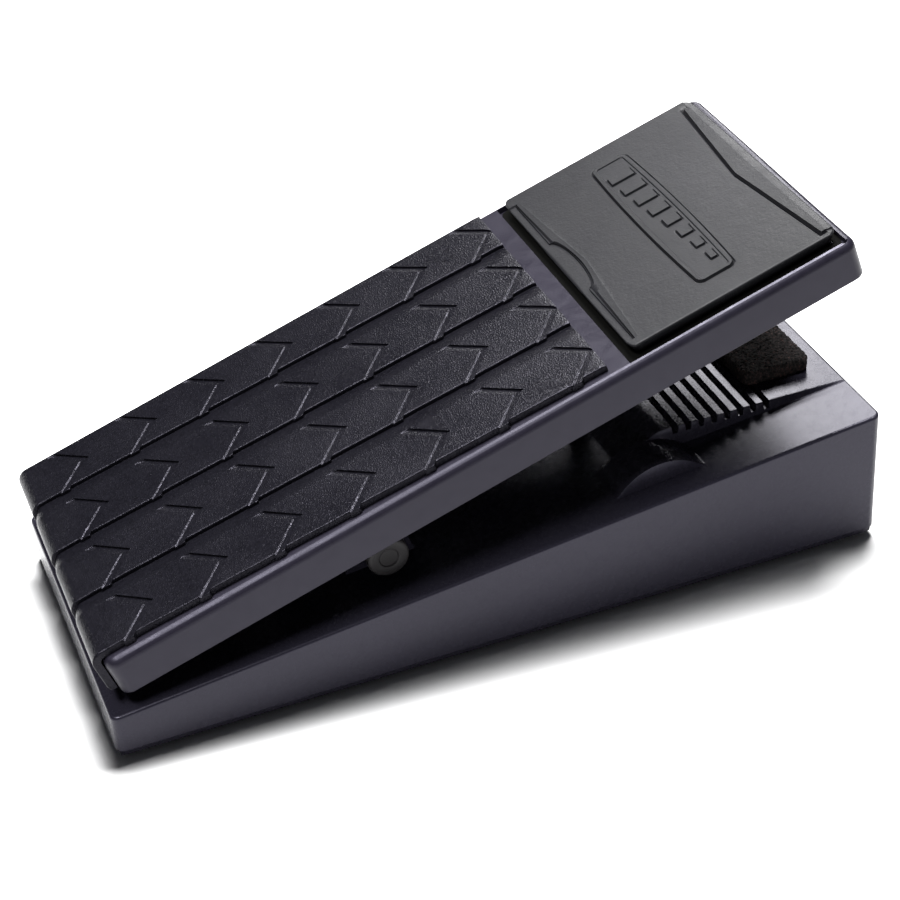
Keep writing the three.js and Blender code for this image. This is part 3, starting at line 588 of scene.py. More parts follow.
WALL = 3
WALL_STEP = 0.1
HOUSING_GRID = 2.4
HOUSING_CORNER = 3
HOUSING_EDGE = 1.0
REBATE_DEPTH = 1.2
REBATE_HEIGHT = 2.1
REBATE_STEP = 0.05
RAMP = (45, 61)
RAMP_GRID = 0.7
SHELF_HALF_WIDTH = 32.5
SHELF_HEIGHT = TOE_HEIGHT
SHELF_SIDE = (SHELF_HALF_WIDTH - 0.7, SHELF_HALF_WIDTH + 0.5)
SHELF_FILLET = (SHELF_HALF_WIDTH, SHELF_HALF_WIDTH + 3.5)
FILLET_SHARE = 0.1
SHELF_ROOM = (58, 104)
SHELF_ROOM_STEP = 0.2
SLOT_STARTS = [64.2 + 4.5 * i for i in range(8)]
SLOT_WIDTH = 1.8
SLOT_DEPTH = 2.4
SLOT_REACH = SHELF_HALF_WIDTH + 2
SLOT_LEAN = (0.25, 0.15)
BULGE_X = 55.1
BULGE_Z = 24.3
BULGE_RADIUS = 18.8
BULGE_FACE = -45
BULGE_SKIRT = 0.4
BULGE_BACK = (-31, -29)
BULGE_FILLET = 1.6
BULGE_WALL = 2.6
BULGE_ROOM = (BULGE_FACE + BULGE_WALL, -29.9)
SECTOR_SLOT = (41.5, 53.0)
SECTOR_SLOT_HALF = 9
SCREW_XS = (-112, 8, 113)
SCREW_Y = 45
PLATE_UPPERSIDE = (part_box("bottom_plate")[1].z - housing_low.z) / MM
PLATE_GAP = 0.3
POST_RADIUS = 4
POT_SCREW_X = 9.6
POT_SCREW_Y = -25
POT_BRACKET_TOP = 12
POT_BOSS_RADIUS = 3.5
PINION_ROOM = 9.1
SOCKET_FACE = 117.2
SOCKET_BOSS = (12.5, 117.5, 124)
SOCKET_POCKET = (9, 120.5, 130)
SOCKET_HOLE = (5.1, 110, 130)


def deck(x):
    return HEEL_HEIGHT + (x + HALF_LENGTH) * DECK_SLOPE


def shelf(x):
    """The middle band: the deck, then a ramp, then the level shelf."""
    return deck(x) + smooth(*RAMP, x) * (SHELF_HEIGHT - deck(x))


def bulge(x):
    """The round bulge's height, and nothing beyond its ends."""
    inside = BULGE_RADIUS ** 2 - (x - BULGE_X) ** 2
    return np.where(inside > 0, BULGE_Z + np.sqrt(np.maximum(0, inside)), 0)


def soft_max(one, two, softness):
    """The larger of two heights, with a fillet where they meet."""
    gap = np.maximum(softness - np.abs(one - two), 0) / softness
    return np.maximum(one, two) + gap * gap * softness / 4


def slot_walls(start):
    """Where the two leaning walls of a grip slot start and end."""
    outer, inner = SLOT_LEAN
    end = start + SLOT_WIDTH
    return (start - outer, start + inner), (end - inner, end + outer)


def housing_top(x, y):
    side = np.abs(y)
    wall = (1 - FILLET_SHARE) * (1 - smooth(*SHELF_SIDE, side))
    fillet = FILLET_SHARE * (1 - smooth(*SHELF_FILLET, side))
    height = deck(x) + (shelf(x) - deck(x)) * (wall + fillet)
    domed = soft_max(bulge(x), deck(x), BULGE_FILLET)
    face = np.clip((y - BULGE_FACE + BULGE_SKIRT) / BULGE_SKIRT, 0, 1) * (1 - smooth(*BULGE_BACK, y))
    height = np.maximum(height, deck(x) + (domed - deck(x)) * face)
    floor = np.maximum(deck(x), SHELF_HEIGHT - SLOT_DEPTH)
    for start in SLOT_STARTS:
        heel_wall, toe_wall = slot_walls(start)
        in_slot = smooth(*heel_wall, x) * (1 - smooth(*toe_wall, x)) * (side < SLOT_REACH)
        height = height - in_slot * np.maximum(0, height - floor)
    return height


def posts(x, y, centres, level, height, edge=0.3):
    """Lowers an underside to a level inside round posts."""
    for centre_x, centre_y in centres:
        away = np.hypot(x - centre_x, y - centre_y)
        height = height + (level - height) * (1 - rise(POST_RADIUS, edge, away))
    return height


def housing_underside(x, y):
    side = np.abs(y)
    inside = 1 - rise(HALF_LENGTH - WALL, WALL_STEP, np.abs(x))
    inside = inside * (1 - rise(HALF_WIDTH - WALL, WALL_STEP, side))
    from_edge = np.minimum(HALF_LENGTH - np.abs(x), HALF_WIDTH - side)
    rebate = REBATE_HEIGHT * (1 - rise(REBATE_DEPTH, REBATE_STEP, from_edge))
    ceiling = deck(x) - WALL
    under_shelf = within(*SHELF_ROOM, SHELF_ROOM_STEP, x)
    under_shelf = under_shelf * (1 - rise(SHELF_HALF_WIDTH - WALL, WALL_STEP, side))
    shelf_ceiling = SHELF_HEIGHT - WALL - SLOT_DEPTH
    ceiling = np.maximum(ceiling, ceiling + (shelf_ceiling - ceiling) * under_shelf)
    under_bulge = within(*BULGE_ROOM, WALL_STEP, y)
    ceiling = np.maximum(ceiling, ceiling + (bulge(x) - BULGE_WALL - ceiling) * under_bulge)
    screws = [(screw_x, sign * SCREW_Y) for screw_x in SCREW_XS for sign in SIGNS]
    ceiling = posts(x, y, screws, PLATE_UPPERSIDE + PLATE_GAP, ceiling)
    return ceiling * inside + rebate


def wall_lines(half):
    """Lines for the rim, the corner, the inner wall and the rebate of a housing this far from its middle."""
    return (
        rim_lines(-half, half, HOUSING_EDGE),
        rim_lines(-half, half, HOUSING_CORNER, 8),
        both_sides(around(WALL_STEP, half - WALL), around(REBATE_STEP, half - REBATE_DEPTH)),
    )


def sector_slot(x, y):
    return (x > SECTOR_SLOT[0]) & (x < SECTOR_SLOT[1]) & (np.abs(y) < SECTOR_SLOT_HALF)


def build_housing():
    xs = grid_lines(
        -HALF_LENGTH, HALF_LENGTH, HOUSING_GRID, *wall_lines(HALF_LENGTH),
        np.arange(RAMP[0] - 6, RAMP[1] + 9, RAMP_GRID),
        *[spread(*wall) for start in SLOT_STARTS for wall in slot_walls(start)],
        around(SHELF_ROOM_STEP, *SHELF_ROOM), SECTOR_SLOT, post_lines(*SCREW_XS),
    )
    ys = grid_lines(
        -HALF_WIDTH, HALF_WIDTH, HOUSING_GRID, *wall_lines(HALF_WIDTH),
        both_sides(spread(*SHELF_SIDE, 9), np.arange(SHELF_SIDE[1], SHELF_FILLET[1] + 0.5, 0.5)),
        both_sides(around(WALL_STEP, SHELF_HALF_WIDTH - WALL), post_lines(SCREW_Y), SECTOR_SLOT_HALF),
        spread(BULGE_FACE - BULGE_SKIRT, BULGE_FACE), BULGE_FACE + 0.3, spread(*BULGE_BACK),
        around(WALL_STEP, *BULGE_ROOM),
    )
    housing = relief(
        "housing_moulding", xs, ys, housing_top, housing_underside, HOUSING_CORNER, TO_HOUSING,
        top_edge=HOUSING_EDGE, bottom_edge=0.4, hole=sector_slot,
    )
    bosses = [bar("socket_boss", *SOCKET_BOSS, socket_axis(), "X")]
    for sign in SIGNS:
        x = pinion.x + sign * POT_SCREW_X
        axis = TO_HOUSING @ Matrix.Translation((x, POT_SCREW_Y, 0))
        bosses.append(bar("pot_boss", POT_BOSS_RADIUS, POT_BRACKET_TOP, deck(x) - 1, axis, "Z"))
    join(housing, bosses)
    pinion_axis = TO_HOUSING @ Matrix.Translation(pinion)
    cut(housing, [
        bar("socket_pocket", *SOCKET_POCKET, socket_axis(), "X"),
        bar("socket_hole", *SOCKET_HOLE, socket_axis(), "X"),
        bar("pinion_room", PINION_ROOM, -SECTOR_SLOT_HALF, SECTOR_SLOT_HALF, pinion_axis, "Y"),
    ])
    weight_normals(housing)
    dress(housing, "housing_plastic", "base", ["base_housing"])


def socket_axis():
    low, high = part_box("jack_body")
    centre_y = (low.y + high.y) / 2 / MM
    centre_z = ((low.z + high.z) / 2 - housing_low.z) / MM
    return TO_HOUSING @ Matrix.Translation((0, centre_y, centre_z))


PILLAR_INNER = 24
PILLAR_OUTER = 32
PILLAR_RADIUS = 9
PILLAR_HALF_BASE = 12
PILLAR_SINK = 2
PILLAR_EDGE = 0.7
PILLAR_BORE = 5.3


def build_pillars():
    x = pivot_in_housing.x
    z = pivot_in_housing.z
    half_circle = np.linspace(0, math.pi, 25)
    arc = [(x + PILLAR_RADIUS * math.cos(turn), z + PILLAR_RADIUS * math.sin(turn)) for turn in half_circle]
    heel_foot = (x - PILLAR_HALF_BASE, deck(x - PILLAR_HALF_BASE) - PILLAR_SINK)
    toe_foot = (x + PILLAR_HALF_BASE, deck(x + PILLAR_HALF_BASE) - PILLAR_SINK)
    outline = [toe_foot, *arc, heel_foot]
    axis = TO_HOUSING @ Matrix.Translation((x, 0, z))
    for name, side in SIDES.items():
        low, high = sorted((side * PILLAR_INNER, side * PILLAR_OUTER))
        pillar = extruded(f"pivot_pillar_{name}", outline, low, high, TO_HOUSING, PILLAR_EDGE)
        cut(pillar, [bar("bore", PILLAR_BORE, low - 2, high + 2, axis, "Y")])
        weight_normals(pillar)
        dress(pillar, "housing_plastic", "base")


# ----------------------------------------------------------------------- treadle shell

SHELL_LENGTH = 249.5
SHELL_HALF = 52.65
SHELL_TOP = 13.4
SHELL_SKIN = 10.4
SHELL_CORNER = 4
SHELL_GRID = 3.2
NEAR_ROUND = 2.8
FAR_ROUND = 1.6
ROUND_CHANGE = (-40, 40)
PAD_RECESS = (173.8, 246.9)
PAD_RECESS_SIDES = (-50.3, 51.0)
PAD_RECESS_FLOOR = 11.6
RECESS_STEP = 0.15
RECESS_SIDE_STEP = 0.1
CROSS_RIBS = (40, 64, 108, 145, 190)
FOAM_STOPS = (216, 225.5, 235)
RIB_V = 26
RIB_HALF = 1
RIB_BOTTOM = 4
RIB_EDGE = 0.12
BRACKET_ROOM = 20
HEEL_STOP_U = (4, 14)
HEEL_STOP_V = (23, 37)
BRACKET_BOSS = (11, 22)
SECTOR_BOSS = (80, 7.2)
BOSS_LEVEL = 6.0


def treadle_top(u, v):
    in_pad = within(*PAD_RECESS, RECESS_STEP, u) * within(*PAD_RECESS_SIDES, RECESS_SIDE_STEP, v)
    return SHELL_TOP - in_pad * (SHELL_TOP - PAD_RECESS_FLOOR)


def treadle_round(u, v):
    """The rim is rounder along its near side than along the far one."""
    return NEAR_ROUND + (FAR_ROUND - NEAR_ROUND) * smooth(*ROUND_CHANGE, v)


def rib(value, *centres):
    """1 on the ribs at the given centres, 0 off them."""
    on_rib = np.zeros_like(value)
    for centre in centres:
        on_rib = np.maximum(on_rib, within(centre - RIB_HALF, centre + RIB_HALF, RIB_EDGE, value))
    return on_rib


def treadle_underside(u, v):
    side = np.abs(v)
    inside = within(WALL, SHELL_LENGTH - WALL, WALL_STEP, u) * (1 - rise(SHELL_HALF - WALL, WALL_STEP, side))
    by_bracket = within(PIVOT_U - BRACKET_ROOM, PIVOT_U + BRACKET_ROOM, RIB_EDGE, u)
    ribs = np.maximum(rib(side, RIB_V) * (1 - by_bracket), rib(u, *CROSS_RIBS))
    level = SHELL_SKIN - ribs * (SHELL_SKIN - RIB_BOTTOM)
    foam_stops = rib(u, *FOAM_STOPS) * (1 - rise(RIB_V, RIB_EDGE, side))
    heel_stops = within(*HEEL_STOP_U, RIB_EDGE, u) * within(*HEEL_STOP_V, RIB_EDGE, side)
    level = np.minimum(level, SHELL_SKIN * (1 - np.maximum(foam_stops, heel_stops)))
    bosses = [(PIVOT_U + end * BRACKET_BOSS[0], sign * BRACKET_BOSS[1]) for end in SIGNS for sign in SIGNS]
    bosses += [(PIVOT_U + SECTOR_BOSS[0], sign * SECTOR_BOSS[1]) for sign in SIGNS]
    return posts(u, v, bosses, BOSS_LEVEL, level) * inside


def shell_rims(low, high):
    return rim_lines(low, high, NEAR_ROUND, 8), rim_lines(low, high, SHELL_CORNER, 8)


def build_treadle_shell():
    cross_walls = around(RIB_HALF, *CROSS_RIBS, *FOAM_STOPS)
    xs = grid_lines(
        0, SHELL_LENGTH, SHELL_GRID, *shell_rims(0, SHELL_LENGTH),
        around(RIB_EDGE, WALL, SHELL_LENGTH - WALL, *cross_walls, *HEEL_STOP_U),
        around(RIB_EDGE, PIVOT_U - BRACKET_ROOM, PIVOT_U + BRACKET_ROOM),
        *[spread(end - RECESS_STEP, end + RECESS_STEP, 3) for end in PAD_RECESS],
        post_lines(PIVOT_U - BRACKET_BOSS[0], PIVOT_U + BRACKET_BOSS[0], PIVOT_U + SECTOR_BOSS[0]),
    )
    ys = grid_lines(
        -SHELL_HALF, SHELL_HALF, SHELL_GRID, *shell_rims(-SHELL_HALF, SHELL_HALF),
        both_sides(around(RIB_EDGE, SHELL_HALF - WALL, RIB_V - RIB_HALF, RIB_V + RIB_HALF, *HEEL_STOP_V)),
        *[spread(side - RECESS_SIDE_STEP, side + RECESS_SIDE_STEP, 3) for side in PAD_RECESS_SIDES],
        both_sides(post_lines(BRACKET_BOSS[1], SECTOR_BOSS[1])),
    )
    shell = relief(
        "treadle_moulding", xs, ys, treadle_top, treadle_underside, SHELL_CORNER, TO_TREADLE,
        top_edge=treadle_round, bottom_edge=0.5,
    )
    weight_normals(shell)
    dress(shell, "treadle_plastic", "treadle", ["treadle_shell"])


# --------------------------------------------------------------------------- tread mat

LANE_PITCH = 26.1
LANE_COUNT = 4
LANE_GRID = 1.25
FIRST_LANE = -49.4
LANE_FLAT = 20.2
LANE_DROP = 1.25
LANE_FALL_CURVE = 1.6
LANE_ROUND = 0.5
LAST_LANE_REACH = 1.4
EDGE_WALL = 0.05
CHEVRON_FIRST = 8.1
CHEVRON_PITCH = 24.55
CHEVRONS = [CHEVRON_FIRST + i * CHEVRON_PITCH for i in range(7)]
CHEVRON_REACH = 9.4
CHEVRON_APEX = 10.2
CHAMFER = 0.5
GROOVE_LENGTH = 3.45
# A groove's cross-sections in the two halves of a lane: places toward the toe, and depths there.
NEAR_GROOVE = ((0, CHAMFER, GROOVE_LENGTH - 0.1, GROOVE_LENGTH), (0, 0.27, 0.14, 0))
FAR_GROOVE = ((0, 0.1, GROOVE_LENGTH - 0.05, GROOVE_LENGTH), (0, 0.1, 0.66, 0))
JOG = (3.2, 4.0)
JOG_DEPTH = 1.0
JOG_TAPER = 0.55
HEEL_INSET = 0.6
MAT_GRID = 1.4
MAT_UNDERSIDE = 13.55
MAT_THICKNESS = 2.2
MAT_THINNEST = 0.25
MAT_END = 167.3
TOE_BEVEL_LENGTH = 0.7
TOE_BEVEL_DEPTH = 0.28
NOSE_INNER = 1.6
NOSE_U = -0.45
NOSE_BOTTOM = 1.5
NOSE_CHANGE = (-6, 2)
NOSE_EXTRA = 0.3
NOSE_ARC = math.pi / 2 * (NOSE_INNER + 2)
FLAT_START = NOSE_U + NOSE_INNER
NOSE_FOOT = FLAT_START - NOSE_ARC - (MAT_UNDERSIDE - NOSE_INNER - NOSE_BOTTOM)
FOOT_LENGTH = 1.2
FOOT_THINNING = 0.5


def chevron_shift(along, across):
    """How far the chevrons lean toward the toe at a place across a lane."""
    rising = np.clip(across / CHEVRON_APEX, 0, 1)
    falling = np.clip((across - CHEVRON_APEX) / CHEVRON_APEX, 0, 1)
    return CHEVRON_REACH * (rising - falling) * smooth(-0.5, CHEVRON_FIRST - 0.3, along)


def mat_relief(along, across):
    """How far the tread's face lies below its highest level.

    Each lane has a round near edge and falls away before the next one. A chevron groove has
    a shallow chamfer along its heel side in the near half of a lane, and in the far half a
    floor that sinks to an upright wall on its toe side.
    """
    drop = LANE_DROP * np.clip((across - LANE_FLAT) / (LANE_PITCH - LANE_FLAT), 0, 1) ** LANE_FALL_CURVE
    near_edge = round_edge(across - EDGE_WALL, LANE_ROUND)
    drop = drop + np.where(across < EDGE_WALL, LANE_DROP, near_edge)
    far = smooth(CHEVRON_APEX - 0.15, CHEVRON_APEX + 0.35, across)
    fade = 1 - smooth(LANE_FLAT - 0.1, LANE_FLAT + 0.3, across)
    for start in CHEVRONS:
        near_depth = np.interp(along - start, *NEAR_GROOVE)
        far_depth = np.interp(along - start, *FAR_GROOVE)
        drop = np.maximum(drop, (near_depth + (far_depth - near_depth) * far) * fade)
    return drop


def lane_edge(along):
    """How far a lane's near edge is set in: each block starts wide and tapers back."""
    inset = np.zeros_like(along)
    for start in CHEVRONS:
        past = along - start
        jog = smooth(*JOG, past) * (1 - smooth(JOG[1], CHEVRON_PITCH, past) * JOG_TAPER)
        in_block = (past > 0) & (past < CHEVRON_PITCH)
        inset = np.where(in_block, JOG_DEPTH * jog, inset)
    return np.where(along <= CHEVRON_FIRST, HEEL_INSET, inset)


def mat_path(along):
    """The underside's path from the toe end to the foot of the nose, with its outward normal."""
    turn = np.clip((FLAT_START - along) / NOSE_ARC, 0, 1) * math.pi / 2
    fall = np.maximum(0, FLAT_START - along - NOSE_ARC)
    u = np.where(along >= FLAT_START, along, FLAT_START - NOSE_INNER * np.sin(turn))
    w = MAT_UNDERSIDE - NOSE_INNER + NOSE_INNER * np.cos(turn) - fall
    return u, w, -np.sin(turn), np.cos(turn)


def mat_thickness(along, across, place):
    """Thicker round the nose, thinner at the nose's foot, and bevelled at the toe end."""
    thickness = MAT_THICKNESS + NOSE_EXTRA * (1 - smooth(*NOSE_CHANGE, along)) - mat_relief(along, across)
    thickness = thickness - FOOT_THINNING * (1 - smooth(NOSE_FOOT, NOSE_FOOT + FOOT_LENGTH, along))
    bevel = TOE_BEVEL_DEPTH * np.clip((place - MAT_END + TOE_BEVEL_LENGTH) / TOE_BEVEL_LENGTH, 0, 1)
    return np.maximum(thickness - bevel, MAT_THINNEST)


def mat_grid():
    """The mat's grid: places along it, places across it, and places across each lane."""
    groove_lines = (-0.05, 0, 0.1, CHAMFER / 2, CHAMFER, CHAMFER + 0.2)
    wall_places = (GROOVE_LENGTH - 0.1, GROOVE_LENGTH - 0.05, GROOVE_LENGTH)
    alongs = grid_lines(
        NOSE_FOOT, MAT_END + CHEVRON_REACH, MAT_GRID, np.arange(-6, 3, 0.5),
        beside(*CHEVRONS, offsets=(*groove_lines, *wall_places, *spread(*JOG, 4))),
    )
    lane_lines = grid_lines(
        0, LANE_PITCH - 0.02, LANE_GRID, EDGE_WALL + quarter_lines(LANE_ROUND), 0.8,
        spread(LANE_FLAT - 0.2, LANE_FLAT + 0.4), LANE_PITCH - 0.6,
        spread(CHEVRON_APEX - 0.2, CHEVRON_APEX + 0.4, 4),
    )
    across = np.concatenate([lane_lines + lane * LANE_PITCH for lane in range(LANE_COUNT)])
    in_lane = np.tile(lane_lines, LANE_COUNT)
    keep = across <= (LANE_COUNT - 1) * LANE_PITCH + LANE_FLAT + LAST_LANE_REACH
    along_grid, across_grid = np.meshgrid(alongs, across[keep], indexing="ij")
    return along_grid, across_grid, np.broadcast_to(in_lane[keep], along_grid.shape)


def build_mat():
    along, across, in_lane = mat_grid()
    place = along + chevron_shift(along, in_lane)
    v = FIRST_LANE + across + lane_edge(along) * (1 - smooth(0, 6, in_lane))
    thickness = mat_thickness(along, in_lane, place)
    u, w, normal_u, normal_w = mat_path(place)
    bm = bmesh.new()
    outer = sheet_vertices(bm, u + normal_u * thickness, v, w + normal_w * thickness)
    inner = sheet_vertices(bm, u, v, w)
    close_sheets(bm, outer, inner, np.ones((len(outer) - 1, len(outer[0]) - 1), bool))
    geometry = bm.verts[:] + bm.edges[:] + bm.faces[:]
    bmesh.ops.bisect_plane(bm, geom=geometry, plane_co=(MAT_END, 0, 0), plane_no=(1, 0, 0), clear_outer=True)
    open_edges = [edge for edge in bm.edges if edge.is_boundary]
    bmesh.ops.holes_fill(bm, edges=open_edges, sides=0)
    mat = finish_mesh("chevron_tread", bm, TO_TREADLE, 50)
    weight_normals(mat)
    dress(mat, "tread_rubber", "treadle", ["tread_mat"])


# ----------------------------------------------------------------------------- toe pad

PAD_LOW = (176.2, -47.8)
PAD_HIGH = (246.2, 49.9)
PAD_BOTTOM = 11.9
PAD_TOP = 16.5
PAD_ROUND = 0.6
PAD_CORNER = 3.5
PAD_UNDERCUT = 1.3
PAD_GRID = 0.9
PAD_SIDE_GRID = 0.8
FIELD_DROP = 0.35
LINE_HALF = 0.35
LINE_DEPTH = 0.6
# A line's _U is where it belongs, and its _REF is where it runs in the straight grid.
STEP_U = 178.6
STEP_REF = 180.3
STEP_DROP = 0.5
NOTCH_MIDDLE = 2
NOTCH_HALF = 15
NOTCH_STEEP = 12
NOTCH_GRID = 0.15
NOTCH_DEPTH = 3.4
CREASE_U = 184
CREASE_REF = 182.3
CREASE_LEAN = 0.088
CREASE_HALF = 0.25
CREASE_RISE = 0.03
CREASE_DROP = 0.06
SIDE_LINE = 44.5
SIDE_STEP = 0.2
TOE_U = 237.8
TOE_REF = 240
TOE_LEAN = 0.1
TOE_PLATE_HALF = 45
TOE_PLATE_RISE = 0.45
TOE_LINE_HALF = 0.6
TOE_LINE_DEPTH = 1.0
TOE_LINE_REACH = 3
TOE_SLOPE = 243.6
TOE_FALL = 0.16
BADGE = (204.8, 216.9, -37.5, 39.7)
BADGE_BOW = 1.1
BADGE_CORNER = 2.2
BADGE_RISE = 0.6
BORDER = 1.3
WELL_DEPTH = 0.35
WELL_STEP = 0.12
BADGE_GRID = 0.2
BADGE_MARGIN = 0.9
BARS = 8
BAR_FIRST = 9
BAR_PITCH = 8.2
BAR_TOE_GAP = 2.6
BAR_SHORTEST = 1.8
BAR_GROWTH = 0.78
BAR_HALF = 2
BAR_RISE = 0.5
BAR_LINE_HALF = 0.3
BAR_LINE_DEPTH = 0.35


def box_distance(u, v, low_u, high_u, low_v, high_v, corner):
    """Signed distance to a rounded rectangle, negative inside."""
    reach_u = np.abs(u - (low_u + high_u) / 2) - (high_u - low_u) / 2 + corner
    reach_v = np.abs(v - (low_v + high_v) / 2) - (high_v - low_v) / 2 + corner
    outside = np.hypot(np.maximum(reach_u, 0), np.maximum(reach_v, 0))
    return outside + np.minimum(np.maximum(reach_u, reach_v), 0) - corner


def bow(v, middle, half):
    """A curve that is 1 at its middle and 0 at its ends and beyond."""
    return np.maximum(0, 1 - ((v - middle) / half) ** 2)


def straight_line(u):
    return lambda v: u + 0 * v


def step_line(v):
    """The heel-side step, with a thumb notch in its middle."""
    return STEP_U + NOTCH_DEPTH * np.sqrt(bow(v, NOTCH_MIDDLE, NOTCH_HALF))


def crease_line(v):
    return CREASE_U - CREASE_LEAN * np.abs(v)


def badge_line(end, swell):
    """A long side of the badge plate, which swells in its middle."""
    middle = (BADGE[2] + BADGE[3]) / 2
    half = (BADGE[3] - BADGE[2]) / 2
    return lambda v: end + swell * bow(v, middle, half)


def toe_line(v):
    return TOE_U + TOE_LEAN * np.abs(v - 1)


# Where each line of the pad's relief runs in the straight grid, and where it belongs.
PAD_LINES = [
    (PAD_LOW[0], straight_line(PAD_LOW[0])),
    (STEP_REF, step_line),
    (CREASE_REF, crease_line),
    (BADGE[0], badge_line(BADGE[0], -BADGE_BOW)),
    (BADGE[1], badge_line(BADGE[1], BADGE_BOW)),
    (TOE_REF, toe_line),
    (PAD_HIGH[0] - 2, straight_line(PAD_HIGH[0] - 2)),
    (PAD_HIGH[0], straight_line(PAD_HIGH[0])),
]


def pad_warp(u, v):
    """Bends the straight grid so that its lines follow the lines of the relief."""
    bent = u.copy()
    for (start, start_line), (end, end_line) in zip(PAD_LINES, PAD_LINES[1:]):
        between = (u >= start) & (u <= end)
        share = (u - start) / (end - start)
        bent = np.where(between, start_line(v) + share * (end_line(v) - start_line(v)), bent)
    return bent


def groove(distance, half_width, depth):
    """A V-shaped groove along a line, by distance from it."""
    return depth * np.maximum(0, 1 - np.abs(distance) / half_width)


def bar_boxes():
    """A plain row of rising bars: more pedal, more level."""
    toe_end = BADGE[1] - BAR_TOE_GAP
    for i in range(BARS):
        middle = BADGE[2] + BAR_FIRST + i * BAR_PITCH
        yield toe_end - BAR_SHORTEST - BAR_GROWTH * i, toe_end, middle - BAR_HALF, middle + BAR_HALF


def pad_top(u, v):
    """The pad's height over its straight grid."""
    side = np.abs(v)
    middle = 1 - rise(SIDE_LINE, SIDE_STEP, side)
    heel_drop = STEP_DROP * (u < STEP_REF) + CREASE_DROP * (1 - smooth(STEP_REF, CREASE_REF, u))
    step_groove = groove(u - STEP_REF - LINE_HALF, LINE_HALF, LINE_DEPTH)
    crease = groove(u - CREASE_REF, CREASE_HALF, CREASE_RISE)
    height = PAD_TOP - FIELD_DROP + (crease - heel_drop - step_groove) * middle
    toe_plate = np.maximum(TOE_REF - u, side - TOE_PLATE_HALF)
    toe_groove = groove(toe_plate - TOE_LINE_HALF, TOE_LINE_HALF, TOE_LINE_DEPTH)
    height = height + TOE_PLATE_RISE * (toe_plate < 0) - toe_groove * (u < TOE_REF + TOE_LINE_REACH)
    height = height - TOE_FALL * np.maximum(0, u - TOE_SLOPE)
    plate = box_distance(u, v, *BADGE, BADGE_CORNER)
    height = height + BADGE_RISE * (plate <= 0) - groove(plate - LINE_HALF, LINE_HALF, LINE_DEPTH)
    height = height - WELL_DEPTH * (1 - rise(-BORDER, WELL_STEP, plate))
    for box in bar_boxes():
        block = box_distance(u, v, *box, 0)
        line = groove(block - BAR_LINE_HALF, BAR_LINE_HALF, BAR_LINE_DEPTH)
        height = height + BAR_RISE * (block <= 0) - line
    return height


def pad_grid():
    boxes = list(bar_boxes())
    bar_offsets = (-0.6, -0.3, -0.04, 0, 0.04, 0.3, 0.6)
    xs = grid_lines(
        PAD_LOW[0], PAD_HIGH[0], PAD_GRID, rim_lines(PAD_LOW[0], PAD_HIGH[0], PAD_ROUND), TOE_SLOPE,
        np.arange(BADGE[0] - BADGE_MARGIN, BADGE[1] + BADGE_MARGIN, BADGE_GRID),
        beside(STEP_REF, offsets=(-0.05, 0, LINE_HALF, 2 * LINE_HALF)),
        beside(CREASE_REF, offsets=(-CREASE_HALF, 0, CREASE_HALF)),
        beside(TOE_REF, offsets=(-2 * TOE_LINE_HALF, -TOE_LINE_HALF, -0.05, 0, 0.05, TOE_LINE_REACH)),
        beside(BADGE[0], offsets=(-2 * LINE_HALF, -LINE_HALF, -0.05, 0)),
        beside(BADGE[1], offsets=(2 * LINE_HALF, LINE_HALF, 0.05, 0)),
        around(WELL_STEP, BADGE[0] + BORDER, BADGE[1] - BORDER),
        beside(*[box[0] for box in boxes], boxes[0][1], offsets=bar_offsets),
    )
    ys = grid_lines(
        PAD_LOW[1], PAD_HIGH[1], PAD_SIDE_GRID, rim_lines(PAD_LOW[1], PAD_HIGH[1], PAD_ROUND),
        beside(-SIDE_LINE, SIDE_LINE, offsets=(-SIDE_STEP, 0, SIDE_STEP)),
        beside(-TOE_PLATE_HALF, TOE_PLATE_HALF, offsets=(-0.5, 0, 0.05, 0.5)),
        np.arange(NOTCH_MIDDLE - NOTCH_HALF - 0.2, NOTCH_MIDDLE - NOTCH_STEEP, NOTCH_GRID),
        np.arange(NOTCH_MIDDLE + NOTCH_STEEP, NOTCH_MIDDLE + NOTCH_HALF + 0.2, NOTCH_GRID),
        np.arange(BADGE[2] - BADGE_MARGIN, BADGE[2] + 3, BADGE_GRID),
        np.arange(BADGE[3] - 3, BADGE[3] + BADGE_MARGIN, BADGE_GRID),
        beside(*[edge for box in boxes for edge in box[2:]], offsets=bar_offsets),
    )
    return xs, ys


def build_pad():
    pad = relief(
        "toe_pad_moulding", *pad_grid(), pad_top, flat_at(PAD_BOTTOM), PAD_CORNER, TO_TREADLE,
        top_edge=PAD_ROUND, bottom_edge=0.2, undercut=PAD_UNDERCUT, warp=pad_warp,
    )
    weight_normals(pad)
    dress(pad, "pad_rubber", "treadle", ["toe_pad"])


LIP_INSET = 0.1
LIP_EDGE = 0.05
LIP_GAP = 0.02
LIP_CORNER = 3
LIP_GRID = 4
LIP_OVERLAP = 1.6


